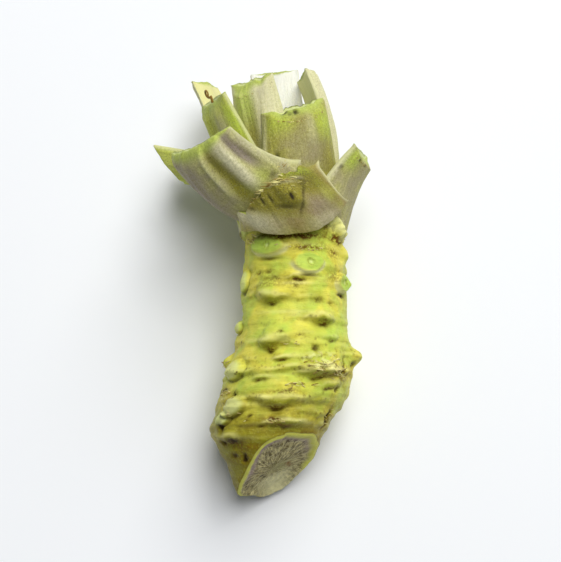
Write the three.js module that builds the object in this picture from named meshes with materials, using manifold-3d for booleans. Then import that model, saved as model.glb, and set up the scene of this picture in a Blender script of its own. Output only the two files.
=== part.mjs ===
// A wasabi root: the knobbly rhizome, cut slantwise at its tip, and the leaf stalks that clasp
// its crown, cut off short. It lies on its belly and on its two lowest stalks.
// Millimetres, +Z up, crown towards +Y.
//
// Everything is shaped in the plant's own growth frame: y runs up the stem from the cut tip,
// z is the side that lies uppermost and x is to its right. A turn is an angle round the stem in
// degrees, 0 on the uppermost side and +90 on the right. One group then lays the plant down.

import * as THREE from 'three';
import { LoftGeometry } from 'three/addons/geometries/LoftGeometry.js';
import { mergeVertices } from 'three/addons/utils/BufferGeometryUtils.js';
import Module from 'manifold-3d';

const wasm = await Module();
wasm.setup();

// ---- driving dimensions -------------------------------------------------------------------

const STEM_LENGTH = 68;          // cut tip to the foot of the crown, along the stem
const NECK_RADIUS = 13.8;        // under the crown
const BELLY_RADIUS = 17.2;       // the thickest place
const BELLY_AT = 27;             // its height up the stem
const BELLY_LENGTH = 15;         // how far up the stem the belly fades out
const TIP_TAPER = 10;            // how much thinner the stem is at its cut tip
const TIP_KINK = 3.2;            // the stem bends this far to the left just above its tip
const TIP_KINK_AT = 17;
const TIP_KINK_LENGTH = 8;
const DOME_AT = 67;              // the stem starts to close here, hidden by the stalks
const DOME_HEIGHT = 14;

const GAP = 0.35;                // clear space between pieces that touch
const FLAT_DEPTH = 0.35;         // how far the plant's weight flattens what it rests on
const LIE_PITCH = 8.3;           // degrees that the crown end is raised by its lowest stalks

const CROWN_LEAN = 6;            // degrees that the crown's axis leans to the left

const RING_SLANT = 1.2;          // how much lower a leaf's ring runs on the far side of the stem
const RING_BELOW = 1.1;          // a ring fades quickly below and slowly above
const RING_ABOVE = 3.2;

const RHIZOME_ROWS = 54;
const RHIZOME_SIDES = 54;
const STALK_ROWS = 7;
const PARED = 0.85;              // the share of a stalk's thickness that its sloping end loses
const SKIRT_FROM = 0.6;          // the share of the half width where a skirt starts
const STALK_SIDES = 9;           // across the back of a stalk, and as many across its front
const SLAB = [400, 400, 20];     // the surface that the plant lies on, as a block

// ---- small helpers ------------------------------------------------------------------------

const radians = THREE.MathUtils.degToRad;
const vector = (x, y, z) => new THREE.Vector3(x, y, z);
const bell = (x) => Math.exp(-x * x);
const mix = THREE.MathUtils.lerp;

// the signed difference of two turns, between -pi and pi
const turnBetween = (a, b) => Math.atan2(Math.sin(a - b), Math.cos(a - b));

// where a rising function passes zero
const crossing = (f, low, high) => {
  for (let step = 0; step < 40; step += 1) {
    const middle = (low + high) / 2;
    if (f(middle) < 0) low = middle;
    else high = middle;
  }
  return (low + high) / 2;
};

// a closed mesh as a solid that can be cut
const solidOf = (geometry) => {
  const bare = new THREE.BufferGeometry();
  bare.setAttribute('position', geometry.attributes.position);
  bare.setIndex(geometry.index);
  const merged = mergeVertices(bare, 1e-4);
  const corners = merged.index.array;
  const kept = [];
  for (let i = 0; i < corners.length; i += 3) {
    const [a, b, c] = [corners[i], corners[i + 1], corners[i + 2]];
    if (a !== b && b !== c && c !== a) kept.push(a, b, c);
  }
  return new wasm.Manifold(new wasm.Mesh({
    numProp: 3,
    vertProperties: new Float32Array(merged.attributes.position.array),
    triVerts: new Uint32Array(kept),
  }));
};

// the largest piece of a solid, as a geometry; a cut can leave crumbs
const geometryOf = (solid) => {
  const largest = solid.decompose().sort((a, b) => b.volume() - a.volume())[0];
  const mesh = largest.getMesh();
  const geometry = new THREE.BufferGeometry();
  geometry.setAttribute('position', new THREE.BufferAttribute(new Float32Array(mesh.vertProperties), 3));
  geometry.setIndex(new THREE.BufferAttribute(new Uint32Array(mesh.triVerts), 1));
  geometry.computeVertexNormals();
  return geometry;
};

// ---- the rhizome --------------------------------------------------------------------------

// the stem's gentle bend, seen from above
const stemLine = new THREE.QuadraticBezierCurve3(
  vector(-3.4, 0, 0), vector(6.6, STEM_LENGTH / 2, 0), vector(4.4, STEM_LENGTH, 0));
const stemCentre = (height) => stemLine.getPoint(height / STEM_LENGTH)
  .add(vector(-TIP_KINK * bell((height - TIP_KINK_AT) / TIP_KINK_LENGTH), 0, 0));

const girth = (height) => {
  if (height >= BELLY_AT) {
    const swell = BELLY_RADIUS - NECK_RADIUS;
    return NECK_RADIUS + swell * bell((height - BELLY_AT) / BELLY_LENGTH);
  }
  return Math.max(1, BELLY_RADIUS - TIP_TAPER * ((BELLY_AT - height) / BELLY_AT) ** 1.7);
};

// What each leaf and bud has left on the stem. Widths and heights are half sizes.
//   scar: the flat oval where a stalk was cut off     lip: a raised rim over a pocket
//   knob: a round bud or root stub
const MARKS = [
  { kind: 'scar', turn: -35, at: 65.6, wide: 5.6, high: 2.8, lift: 1.1, ring: 0.5 },
  { kind: 'scar', turn: 16, at: 60.8, wide: 4.2, high: 2.8, lift: 1.4, ring: 0.6 },
  { kind: 'scar', turn: 63, at: 55.5, wide: 3.4, high: 2.6, lift: 1.6, ring: 0.5 },
  { kind: 'knob', turn: -75, at: 56.9, wide: 1.8, high: 3.0, lift: 1.4, ring: 0 },
  { kind: 'lip', turn: -28, at: 52.4, wide: 4.4, high: 2.6, lift: 1.5, ring: 0.8 },
  { kind: 'lip', turn: 27, at: 46.0, wide: 3.8, high: 2.2, lift: 1.2, ring: 0.8 },
  { kind: 'knob', turn: -76, at: 45.9, wide: 1.9, high: 1.9, lift: 1.4, ring: 0 },
  { kind: 'lip', turn: -21, at: 40.4, wide: 4.0, high: 2.9, lift: 2.0, ring: 0.7 },
  { kind: 'knob', turn: 80, at: 36.6, wide: 3.0, high: 2.4, lift: 3.0, ring: 0.5 },
  { kind: 'lip', turn: -61, at: 33.0, wide: 2.8, high: 3.0, lift: 2.0, ring: 0.7 },
  { kind: 'knob', turn: -88, at: 35.6, wide: 2.0, high: 1.9, lift: 2.6, ring: 0 },
  { kind: 'lip', turn: 28, at: 32.6, wide: 6.2, high: 2.8, lift: 1.4, ring: 0.9 },
  { kind: 'lip', turn: 2, at: 24.6, wide: 5.4, high: 2.6, lift: 1.6, ring: 0.9 },
  { kind: 'knob', turn: -50, at: 22.4, wide: 2.6, high: 2.6, lift: 2.2, ring: 0.6 },
  { kind: 'knob', turn: -56, at: 18.8, wide: 1.8, high: 1.8, lift: 1.5, ring: 0 },
  { kind: 'knob', turn: 57, at: 67.5, wide: 2.6, high: 2.4, lift: 2.4, ring: 0 },
  { kind: 'knob', turn: 80, at: 64.5, wide: 3.4, high: 2.8, lift: 1.6, ring: 0 },
  { kind: 'knob', turn: 158, at: -1, wide: 8.0, high: 7.0, lift: 4.6, ring: 0 },
  { kind: 'lip', turn: 112, at: 60.5, wide: 4.0, high: 2.6, lift: 1.2, ring: 0.3 },
  { kind: 'scar', turn: 160, at: 54.0, wide: 4.2, high: 2.8, lift: 1.2, ring: 0.3 },
  { kind: 'lip', turn: -145, at: 49.9, wide: 4.0, high: 2.6, lift: 1.3, ring: 0.3 },
  { kind: 'lip', turn: 122, at: 45.9, wide: 4.0, high: 2.6, lift: 1.3, ring: 0.3 },
  { kind: 'knob', turn: -112, at: 41.0, wide: 2.6, high: 2.6, lift: 1.6, ring: 0.3 },
  { kind: 'lip', turn: 165, at: 37.5, wide: 4.2, high: 2.6, lift: 1.4, ring: 0.3 },
  { kind: 'lip', turn: -150, at: 27.4, wide: 4.4, high: 2.8, lift: 1.2, ring: 0.3 },
  { kind: 'knob', turn: 118, at: 27.0, wide: 2.6, high: 2.6, lift: 1.7, ring: 0.3 },
  { kind: 'lip', turn: 170, at: 16.8, wide: 4.0, high: 2.6, lift: 0.9, ring: 0.5 },
];

const markRelief = (mark, side, height) => {
  const away = turnBetween(side, radians(mark.turn));
  const up = height - mark.at;
  const ringUp = up + RING_SLANT * (1 - Math.cos(away));
  const ring = mark.ring * (0.35 + 0.65 * Math.cos(away / 2) ** 2)
    * bell(ringUp / (ringUp < 0 ? RING_BELOW : RING_ABOVE));
  const across = away * NECK_RADIUS / mark.wide;
  if (Math.abs(across) > 3) return ring;
  const reach = Math.hypot(across, up / mark.high);
  if (mark.kind === 'scar') return ring + mark.lift * (1 - THREE.MathUtils.smoothstep(reach, 0.75, 1.25));
  if (mark.kind === 'knob') return ring + mark.lift * bell(reach);
  const rim = bell(across) * bell((up + mark.high * 0.2) / mark.high);
  const pocket = bell(across * 1.3) * bell((up + mark.high * 0.95) / (mark.high * 0.4));
  return ring + mark.lift * (rim - 1.1 * pocket);
};

// a point of the rhizome's skin; above DOME_AT the height is carried round the dome
const rhizomePoint = (side, height, grow = 0) => {
  const over = Math.max(0, Math.min(1, (height - DOME_AT) / DOME_HEIGHT)) * Math.PI / 2;
  const level = height < DOME_AT ? height : DOME_AT + (DOME_HEIGHT + grow) * Math.sin(over);
  const fade = Math.cos(over);
  const oval = 1 + 0.025 * Math.cos(2 * side + 0.6) + 0.015 * Math.cos(3 * side + height / 14); // not quite round
  let radius = girth(Math.min(height, DOME_AT)) * oval + grow;
  for (const mark of MARKS) radius += markRelief(mark, side, Math.min(height, DOME_AT));
  const centre = stemCentre(level);
  return centre.add(vector(Math.sin(side), 0, Math.cos(side)).multiplyScalar(radius * fade));
};

// the knife's slanting cut across the tip
const tipCut = new THREE.Plane(vector(0.46, -0.806, 0.373).normalize(), 4.83);

const rhizomeSolid = (grow = 0) => {
  const sections = [];
  const lowest = [];
  for (let k = 0; k < RHIZOME_SIDES; k += 1) {
    const side = (k / RHIZOME_SIDES) * 2 * Math.PI;
    lowest.push(crossing((h) => -tipCut.distanceToPoint(rhizomePoint(side, h)), -12, 40));
  }
  for (let row = 0; row <= RHIZOME_ROWS; row += 1) {
    const along = row / RHIZOME_ROWS;
    const section = lowest.map((start, k) => {
      const side = (k / RHIZOME_SIDES) * 2 * Math.PI;
      return rhizomePoint(side, mix(start, DOME_AT + DOME_HEIGHT * 0.97, along), grow);
    });
    sections.push(section);
  }
  return solidOf(new LoftGeometry(sections, { capStart: true, capEnd: true }));
};

// ---- the leaf stalks ----------------------------------------------------------------------

// The crown's axis leans, and every stalk is drawn in its own plane through that axis: a place
// [out, up] is so far from the axis and so far up it from the crown's foot.
const crownFoot = stemCentre(STEM_LENGTH);
const crownUp = vector(-Math.sin(radians(CROWN_LEAN)), Math.cos(radians(CROWN_LEAN)), 0);
const crownRight = vector(crownUp.y, -crownUp.x, 0);
const crownTop = vector(0, 0, 1);

// From the heart outwards; each one clasps those before it.
//   foot, knee, top: the line up the middle of its back; wide: width round the arc, [foot, top]
//   round: the arc's radius, [foot, top]; thick: [middle, edge]; cut: the top cut's tilt,
//   [towards its front, sideways]; sway: how far the top leans sideways, slide: how far it is
//   turned aside round the arc, [foot, top]; bevel: how far down its back the cut end slopes;
//   skirt: how far the left margin's foot hangs below the rest
const STALKS = [
  { name: 'heart_stalk_left', turn: -60, foot: [5, 14], knee: [5.5, 24], top: [4.5, 36],
    wide: [9, 7], round: [5, 4], thick: [2.6, 0.8], cut: [10, 0], sway: 0, slide: [0, 0], bevel: 1 },
  { name: 'heart_stalk_right', turn: 120, foot: [5.5, 13], knee: [6, 24], top: [5, 34],
    wide: [10, 8], round: [5.5, 4.5], thick: [2.6, 0.8], cut: [-8, 0], sway: 0, slide: [0, 0], bevel: 1 },
  { name: 'back_stalk', turn: 180, foot: [8.5, 10], knee: [12, 28], top: [13, 51],
    wide: [24, 15], round: [9, 9], thick: [3.4, 0.8], cut: [8, 0], sway: 0, slide: [0, 0], bevel: 1.2 },
  { name: 'inner_right_stalk', turn: 98, foot: [10, 8], knee: [20, 24], top: [11, 48],
    wide: [28, 16], round: [10.5, 9], thick: [3.6, 0.9], cut: [12, 0], sway: 0, slide: [0, 0], bevel: 1.2 },
  { name: 'inner_left_stalk', turn: -34, foot: [10.5, 7], knee: [14, 26], top: [15.8, 43.5],
    wide: [28, 16], round: [11, 9], thick: [3.8, 0.9], cut: [14, 0], sway: 0, slide: [0, 0], bevel: 3.6 },
  { name: 'far_right_stalk', turn: 130, foot: [12, 6], knee: [14.5, 18], top: [15.5, 25],
    wide: [30, 14], round: [12.5, 9], thick: [4.2, 0.9], cut: [10, 0], sway: 0, slide: [0, 0], bevel: 1.2 },
  { name: 'far_left_stalk', turn: -127, foot: [12, 6], knee: [19, 28], top: [28, 50],
    wide: [30, 13], round: [12.5, 8], thick: [4.2, 0.9], cut: [10, 0], sway: 0, slide: [0, 0], bevel: 2 },
  { name: 'upper_left_stalk', turn: -64, foot: [12.5, 5], knee: [17, 22], top: [23, 38.5],
    wide: [30, 17], round: [13, 10], thick: [4.2, 0.9], cut: [14, 0], sway: 0, slide: [0, 0], bevel: 4.2 },
  { name: 'centre_stalk', turn: 24, foot: [13, 4], knee: [18.5, 18], top: [17, 35],
    wide: [36, 24], round: [13.5, 11], thick: [4.4, 1.0], cut: [16, 10], sway: -1, slide: [0, 0], bevel: 3.6 },
  { name: 'left_stalk', turn: -109, foot: [13.8, 2.5], knee: [15.4, 17], top: [30.4, 22],
    wide: [34, 26], round: [14, 8.6], thick: [4.4, 1.0], cut: [44, 0], sway: 0, slide: [0, 0], bevel: 0 },
  { name: 'under_right_stalk', turn: 160, foot: [13.8, 2], knee: [20, 18], top: [30, 31],
    wide: [34, 15], round: [14.2, 10], thick: [4.6, 1.0], cut: [8, 0], sway: 0, slide: [0, 0], bevel: 1.5 },
  { name: 'under_left_stalk', turn: -160, foot: [14.2, 1.5], knee: [20, 17], top: [30.2, 31],
    wide: [36, 18], round: [14.6, 10], thick: [4.8, 1.0], cut: [8, 0], sway: 0, slide: [0, 0], bevel: 1.5 },
  { name: 'right_stalk', turn: 76, foot: [14.2, 1.5], knee: [18, 12], top: [24.2, 18.8],
    wide: [36, 20], round: [14.8, 10], thick: [4.6, 1.0], cut: [16, 0], sway: 0, slide: [0, 0], bevel: 1.6 },
  { name: 'front_left_stalk', turn: -45, foot: [12.8, 5.0], knee: [26.6, 9.4], top: [36.5, 22.2],
    wide: [48, 29.5], round: [14.6, 12], thick: [4.8, 1.0], cut: [-2, 0], sway: -1, slide: [0, 0], bevel: 3.8 },
  { name: 'front_sheath', turn: 3, foot: [16.4, -0.7], knee: [25.8, 7.0], top: [21.5, 17.0],
    wide: [39, 33], round: [16.4, 15.5], thick: [3.0, 1.0], cut: [0, 24], sway: 0, slide: [1.5, -9],
    bevel: 0.5, skirt: 4 },
];

const stalkShape = (stalk, grow) => {
  const outward = vector(0, 0, 0)
    .addScaledVector(crownRight, Math.sin(radians(stalk.turn)))
    .addScaledVector(crownTop, Math.cos(radians(stalk.turn)));
  const sideways = vector(0, 0, 0)
    .addScaledVector(crownRight, Math.cos(radians(stalk.turn)))
    .addScaledVector(crownTop, -Math.sin(radians(stalk.turn)));
  const place = ([out, up], sway) => crownFoot.clone()
    .addScaledVector(outward, out)
    .addScaledVector(crownUp, up)
    .addScaledVector(sideways, sway);
  const back = new THREE.QuadraticBezierCurve3(
    place(stalk.foot, 0), place(stalk.knee, 0), place(stalk.top, stalk.sway));

  // across runs from -1 to 1; the front is the hollow side that faces the crown's heart; pared
  // runs from 0 to 1 down the slope of the cut end
  const flesh = (across) => 1 - Math.abs(across) ** 2.2;
  const point = (across, along, front, pared = 0) => {
    const on = THREE.MathUtils.clamp(along, 0, 1);
    const way = back.getTangent(on);
    const middle = back.getPoint(on).addScaledVector(way, (along - on) * back.getLength());
    const out = outward.clone().addScaledVector(way, -outward.dot(way)).normalize();
    const aside = vector(0, 0, 0).crossVectors(way, out);
    const radius = mix(stalk.round[0], stalk.round[1], on);
    const width = mix(stalk.wide[0], stalk.wide[1], on ** 0.7) + 2 * grow;
    const angle = (across * width / 2 + mix(stalk.slide[0], stalk.slide[1], on)) / radius;
    const normal = out.clone().multiplyScalar(Math.cos(angle)).addScaledVector(aside, Math.sin(angle));
    const crown = (stalk.thick[0] - stalk.thick[1]) * flesh(across);
    return middle
      .addScaledVector(out, -radius)
      .addScaledVector(normal, radius + (front ? -stalk.thick[1] - crown - grow : grow - pared * PARED * crown));
  };
  const slope = (across) => stalk.bevel * Math.max(flesh(across), 0.1) / back.getLength();
  // a skirt lets the left margin's foot reach further down
  const start = (across) => -(stalk.skirt ?? 0) * Math.max(0, -across - SKIRT_FROM) / (1 - SKIRT_FROM)
    / back.getLength();

  const way = back.getTangent(1);
  const out = outward.clone().addScaledVector(way, -outward.dot(way)).normalize();
  const aside = vector(0, 0, 0).crossVectors(way, out);
  const facing = way.clone().applyAxisAngle(aside, radians(stalk.cut[0]))
    .applyAxisAngle(out, radians(stalk.cut[1]));
  const cut = new THREE.Plane().setFromNormalAndCoplanarPoint(facing, back.getPoint(1));
  cut.constant -= grow;
  return { point, slope, start, cut };
};

const stalkSolid = (stalk, grow = 0) => {
  const { point, slope, start, cut } = stalkShape(stalk, grow);
  const around = [];
  for (let k = 0; k <= STALK_SIDES; k += 1) around.push({ across: -1 + 2 * k / STALK_SIDES, front: false });
  for (let k = 0; k <= STALK_SIDES; k += 1) around.push({ across: 1 - 2 * k / STALK_SIDES, front: true });
  for (const place of around) {
    place.end = crossing((t) => cut.distanceToPoint(point(place.across, t, place.front)), 0.3, 1.8);
  }
  const sections = [];
  const rows = stalk.bevel > 0 ? STALK_ROWS - 1 : STALK_ROWS;
  for (let row = 0; row <= rows; row += 1) {
    sections.push(around.map(({ across, front, end }) => point(
      across, mix(start(across), end - slope(across), row / rows), front)));
  }
  if (stalk.bevel > 0) sections.push(around.map(({ across, front, end }) => point(across, end, front, 1)));
  return solidOf(new LoftGeometry(sections, { capStart: true, capEnd: true }));
};

// ---- putting it together ------------------------------------------------------------------

const skin = { rhizome: 0xa8ae45, stalk: 0x9aa56e, sheath: 0xb0ab84 };

const plant = new THREE.Group();
plant.rotation.x = radians(LIE_PITCH);
plant.updateMatrixWorld();

const makePiece = (name, solid, colour) => {
  const material = new THREE.MeshStandardMaterial({ color: colour, roughness: 0.5, metalness: 0 });
  const piece = new THREE.Mesh(geometryOf(solid), material);
  piece.name = name;
  plant.add(piece);
};

const pieces = [{ name: 'rhizome', solid: rhizomeSolid(), colour: skin.rhizome }];
let taken = rhizomeSolid(GAP);
for (const stalk of STALKS) {
  const colour = stalk.name === 'front_sheath' ? skin.sheath : skin.stalk;
  pieces.push({ name: stalk.name, solid: stalkSolid(stalk).subtract(taken), colour });
  taken = taken.add(stalkSolid(stalk, GAP));
}

// the lowest places are pressed flat by the surface that the plant lies on
const lowest = Math.min(...pieces.map(({ solid }) => {
  const laid = geometryOf(solid).applyMatrix4(plant.matrixWorld);
  laid.computeBoundingBox();
  return laid.boundingBox.min.z;
}));
const surface = new THREE.BoxGeometry(...SLAB)
  .translate(0, 0, lowest + FLAT_DEPTH - SLAB[2] / 2)
  .applyMatrix4(plant.matrixWorld.clone().invert());
for (const { name, solid, colour } of pieces) makePiece(name, solid.subtract(solidOf(surface)), colour);

const root = new THREE.Group();
root.add(plant);
const bounds = new THREE.Box3().setFromObject(root, true);
const centre = bounds.getCenter(vector(0, 0, 0));
plant.position.set(-centre.x, -centre.y, -bounds.min.z);

export default root;
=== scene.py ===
# %% [markdown]
# # A wasabi root, lying on a white table
# The plant is one thick ringed stem, the rhizome, with the stubs of its leaf stalks clasping its
# top end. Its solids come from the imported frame, and this lesson dresses each of them with a finer
# surface of its own: rings, leaf scars, buds, fibres and cut faces, all drawn from the same few
# measures as the solids, so that nothing has to be fitted by eye.

# %% Start
import functools
import math
import bpy
import numpy as np
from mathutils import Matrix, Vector


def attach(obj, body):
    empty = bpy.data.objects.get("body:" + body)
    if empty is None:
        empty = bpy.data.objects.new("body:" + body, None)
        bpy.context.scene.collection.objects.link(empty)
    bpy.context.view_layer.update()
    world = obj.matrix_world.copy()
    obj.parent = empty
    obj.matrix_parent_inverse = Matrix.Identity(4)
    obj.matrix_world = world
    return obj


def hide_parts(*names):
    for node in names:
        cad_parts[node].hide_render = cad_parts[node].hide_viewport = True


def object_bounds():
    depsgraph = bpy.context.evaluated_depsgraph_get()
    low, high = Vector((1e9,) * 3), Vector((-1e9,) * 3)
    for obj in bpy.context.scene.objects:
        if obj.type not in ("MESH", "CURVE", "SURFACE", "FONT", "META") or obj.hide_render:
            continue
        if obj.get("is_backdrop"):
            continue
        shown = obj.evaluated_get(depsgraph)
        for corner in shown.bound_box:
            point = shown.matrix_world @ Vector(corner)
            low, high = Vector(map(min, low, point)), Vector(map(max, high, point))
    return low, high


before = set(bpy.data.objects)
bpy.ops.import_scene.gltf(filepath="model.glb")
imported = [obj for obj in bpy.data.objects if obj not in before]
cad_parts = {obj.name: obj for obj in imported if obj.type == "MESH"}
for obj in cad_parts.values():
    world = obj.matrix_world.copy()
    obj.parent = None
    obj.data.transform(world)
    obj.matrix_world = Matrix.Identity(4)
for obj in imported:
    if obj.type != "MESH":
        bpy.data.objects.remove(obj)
cad_box = [list(corner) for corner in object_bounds()]
print("solids:", len(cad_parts), "box in mm:", [round(1000 * v, 1) for v in cad_box[1]])

# %% [markdown]
# ## The plant's measures
# The plant is drawn in its own growth frame, in millimetres: y runs up the stem from the cut tip,
# z is the side that lies uppermost and x is to its right. A turn is an angle round the stem, 0 on
# the uppermost side and +90 on the right. These are the same values as those of the solids.

# %% Measures
STEM_LENGTH = 68.0      # from the cut tip to the crown's foot
NECK_RADIUS = 13.8
BELLY_RADIUS = 17.2
BELLY_AT = 27.0
BELLY_LENGTH = 15.0
TIP_TAPER = 10.0
TIP_KINK = 3.2
TIP_KINK_AT = 17.0
TIP_KINK_LENGTH = 8.0
DOME_AT = 67.0
DOME_HEIGHT = 14.0
LIE_PITCH = math.radians(8.3)
CROWN_LEAN = math.radians(6)
RING_SLANT = 1.2        # half of how much lower a ring runs on the far side than at its mark
RING_ABOVE = 3.2        # how far a ring's upper slope reaches
AROUND_RADIUS = 16.0    # of the cylinder on which the skin's random values are read


def bell(x):
    return np.exp(-np.square(x))


def mix(a, b, share):
    return a + (b - a) * share


def ramp(x, low, high):
    t = np.clip((x - low) / (high - low), 0, 1)
    return t * t * (3 - 2 * t)


def turn_between(a, b):
    return (a - b + np.pi) % (2 * np.pi) - np.pi


def unit(v):
    return v / np.linalg.norm(v, axis=-1, keepdims=True)


print("stem in mm:", STEM_LENGTH, "long and", 2 * BELLY_RADIUS, "thick")


# %% [markdown]
# ## Random, but the same each time
# Grown things are uneven at every size. One helper gives smooth random values in space: it blends
# the numbers of a small seeded lattice, so each run gives the same plant.

# %% Smooth random values
LATTICE = 24
OCTAVE_SHIFT = 5.3
CLOUD_GAIN = 1.6


def cloud(places, size, seed, octaves=2):
    """Smooth values between -1 and 1, one for each place; size is how wide a blob is."""
    lattice = np.random.default_rng(seed).uniform(-1, 1, (LATTICE,) * 3)
    total, strength, weight = 0.0, 1.0, 0.0
    for octave in range(octaves):
        spot = places / np.asarray(size, float) * 2**octave + OCTAVE_SHIFT * octave
        cell = np.floor(spot).astype(int)
        share = spot - cell
        share = share * share * (3 - 2 * share)
        value = 0.0
        for corner in np.ndindex(2, 2, 2):
            part = np.prod(np.where(np.array(corner) == 1, share, 1 - share), axis=-1)
            index = (cell + corner) % LATTICE
            value = value + part * lattice[index[..., 0], index[..., 1], index[..., 2]]
        total = total + strength * value
        weight += strength
        strength *= 0.5
    return total / weight * CLOUD_GAIN


print("cloud:", cloud(np.array([[1.0, 2.0, 3.0]]), 2.0, 1).round(3))

# %% [markdown]
# ## The stem
# The stem's middle line is a gentle bend with a kink near the tip, and its girth swells to a belly
# and tapers to the tip. Both are plain formulas, and they take whole arrays at once.

# %% The stem's line and girth
LINE_START, LINE_KNEE, LINE_END = -3.4, 6.6, 4.4


def stem_centre(height):
    t = height / STEM_LENGTH
    bend = (1 - t) ** 2 * LINE_START + 2 * t * (1 - t) * LINE_KNEE + t * t * LINE_END
    bend = bend - TIP_KINK * bell((height - TIP_KINK_AT) / TIP_KINK_LENGTH)
    return np.stack([bend, height, np.zeros_like(height)], axis=-1)


def girth(height):
    upper = NECK_RADIUS + (BELLY_RADIUS - NECK_RADIUS) * bell((height - BELLY_AT) / BELLY_LENGTH)
    drop = np.maximum(BELLY_AT - height, 0) / BELLY_AT
    lower = np.maximum(1, BELLY_RADIUS - TIP_TAPER * drop**1.7)
    return np.where(height >= BELLY_AT, upper, lower)


landmarks = np.array([0.0, BELLY_AT, STEM_LENGTH])
print("tip, belly and neck lie aside by mm:", stem_centre(landmarks)[:, 0].round(1))


# %% [markdown]
# ## What grew on the stem
# A wasabi stem carries the marks of every leaf it has shed. Each mark has a turn and a height, half
# its width and half its height, and how far it stands out. The kinds are: scar, the flat oval
# where a stalk was cut off, with its ring of vessels; lip, a raised rim over a pocket; bud, a round
# bead with a crease round it; shoot, the same but greener; knob, a blunt root; stub, the lumpy rest
# of a leaf base. A mark with a ring also sends a low ridge right round the stem.

# %% Marks
MARKS = [
    # kind, turn, at, wide, high, lift, ring
    ("scar", -31, 65.4, 5.2, 2.6, 1.1, 0.5),
    ("scar", 14, 60.9, 4.2, 2.7, 1.05, 0.5),
    ("scar", 63, 56.2, 3.4, 2.6, 1.6, 0.5),
    ("shoot", -69, 56.7, 1.6, 3.0, 1.4, 0),
    ("lip", -28, 52.4, 4.2, 2.9, 1.7, 0.55),
    ("lip", 27, 46.0, 3.6, 2.5, 1.5, 0.55),
    ("bud", -76, 44.4, 1.8, 1.8, 1.3, 0),
    ("lip", -18, 40.2, 3.4, 3.3, 2.2, 0.45),
    ("knob", 80, 36.6, 3.0, 2.4, 3.0, 0.5),
    ("bud", -54, 32.5, 2.6, 2.6, 2.0, 0.7),
    ("knob", -88, 35.6, 2.0, 1.9, 2.6, 0),
    ("lip", 28, 32.6, 6.2, 2.8, 1.4, 0.9),
    ("lip", 2, 24.6, 5.4, 2.6, 1.6, 0.9),
    ("bud", -39, 22.6, 2.5, 2.5, 2.5, 0.6),
    ("shoot", -48, 19.6, 2.0, 1.7, 2.0, 0),
    ("stub", 47, 70.6, 3.0, 2.6, 3.0, 0),
    ("stub", 58, 68.4, 1.8, 1.8, 2.0, 0),
    ("knob", 80, 64.5, 3.4, 2.8, 1.6, 0),
    ("knob", 158, -1.0, 8.0, 7.0, 4.6, 0),
    ("lip", 112, 60.5, 4.0, 2.6, 1.2, 0.3),
    ("scar", 160, 54.0, 4.2, 2.8, 1.2, 0.3),
    ("lip", -145, 49.9, 4.0, 2.6, 1.3, 0.3),
    ("lip", 122, 45.9, 4.0, 2.6, 1.3, 0.3),
    ("bud", -112, 41.0, 2.6, 2.6, 1.6, 0.3),
    ("lip", 165, 37.5, 4.2, 2.6, 1.4, 0.3),
    ("lip", -150, 27.4, 4.4, 2.8, 1.2, 0.3),
    ("bud", 118, 27.0, 2.6, 2.6, 1.7, 0.3),
    ("lip", 170, 16.8, 4.0, 2.6, 0.9, 0.5),
    ("lip", 16, 18.6, 7.0, 2.0, 0.8, 0.6),
    ("lip", -40, 15.0, 4.6, 1.9, 1.0, 0.5),
    ("lip", 46, 28.6, 3.0, 1.8, 0.5, 0.2),
    ("lip", -22, 30.2, 2.6, 1.6, 0.5, 0.25),
    ("lip", 5, 57.4, 5.0, 1.7, 0.6, 0.4),
    ("lip", 40, 41.0, 3.0, 1.6, 0.4, 0.3),
    ("lip", -6, 35.6, 2.0, 1.4, 0.45, 0.2),
]
print("marks:", len(MARKS), "with rings:", sum(row[-1] > 0 for row in MARKS))

# %% [markdown]
# ## Stains, painted shade and highlights, and pits
# Broad soft spots colour the skin without raising it. Most are stains, some are painted shadow that the
# sheath casts over the scar below it and along its foot, and two are painted highlights along crests. Pits
# are small holes in it, painted dark as shade.

# %% Stains, painted shade and pits
STAINS_SHADE_AND_HIGHLIGHTS = [
    # mask, turn, at, half across, half up, strength
    # painted shadow that the sheath casts over the scar below it
    ("olive", -37, 66.2, 4.2, 1.6, 1.4), ("dark", -38, 67.4, 4.0, 0.7, 0.7),
    ("brown", 16, 64.9, 5.0, 1.0, 1.0), ("brown", 48, 63.6, 2.0, 1.4, 1.0),
    # painted shadow along the sheath's foot, in brown and near black
    ("brown", 0, 67.7, 10.0, 0.6, 1.4), ("dark", -6, 68.1, 5.0, 0.35, 0.7),
    ("brown", 46, 57.6, 3.0, 1.4, 0.8), ("brown", -30, 55.0, 5.0, 0.8, 0.7),
    ("brown", -20, 12.4, 9.0, 1.2, 0.8), ("brown", 40, 15.6, 5.0, 1.2, 0.9),
    ("brown", -52, 8.6, 5.0, 1.6, 0.6), ("dark", -38, 12.4, 3.4, 0.5, 0.5),
    ("green", -25, 44.5, 5.0, 3.2, 0.7), ("green", 34, 41.5, 5.5, 3.4, 0.7),
    ("green", -38, 30.2, 4.2, 3.0, 0.6), ("green", 62, 45.0, 3.2, 3.0, 0.5),
    ("green", 0, 49.5, 6.0, 1.6, 0.4), ("green", 34, 27.0, 4.0, 2.2, 0.5),
    ("brown", 60, 30.3, 2.2, 1.4, 0.9), ("brown", -60, 26.6, 4.0, 0.5, 0.5),
    ("olive", 5, 13.5, 8.0, 1.6, 1.0), ("olive", -52, 11.0, 5.0, 5.0, 1.0),
    # the pale spots at 47.6 and 55.2 mm up, on this line and the next, are painted highlights along crests
    ("brown", 2, 19.3, 1.8, 0.8, 0.8), ("crest_and_highlight", -8, 47.6, 8.0, 0.5, 0.6),
    ("crest_and_highlight", 2, 55.2, 4.0, 0.4, 0.8), ("brown", -8, 26.3, 5.0, 0.5, 0.6),
]
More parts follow.
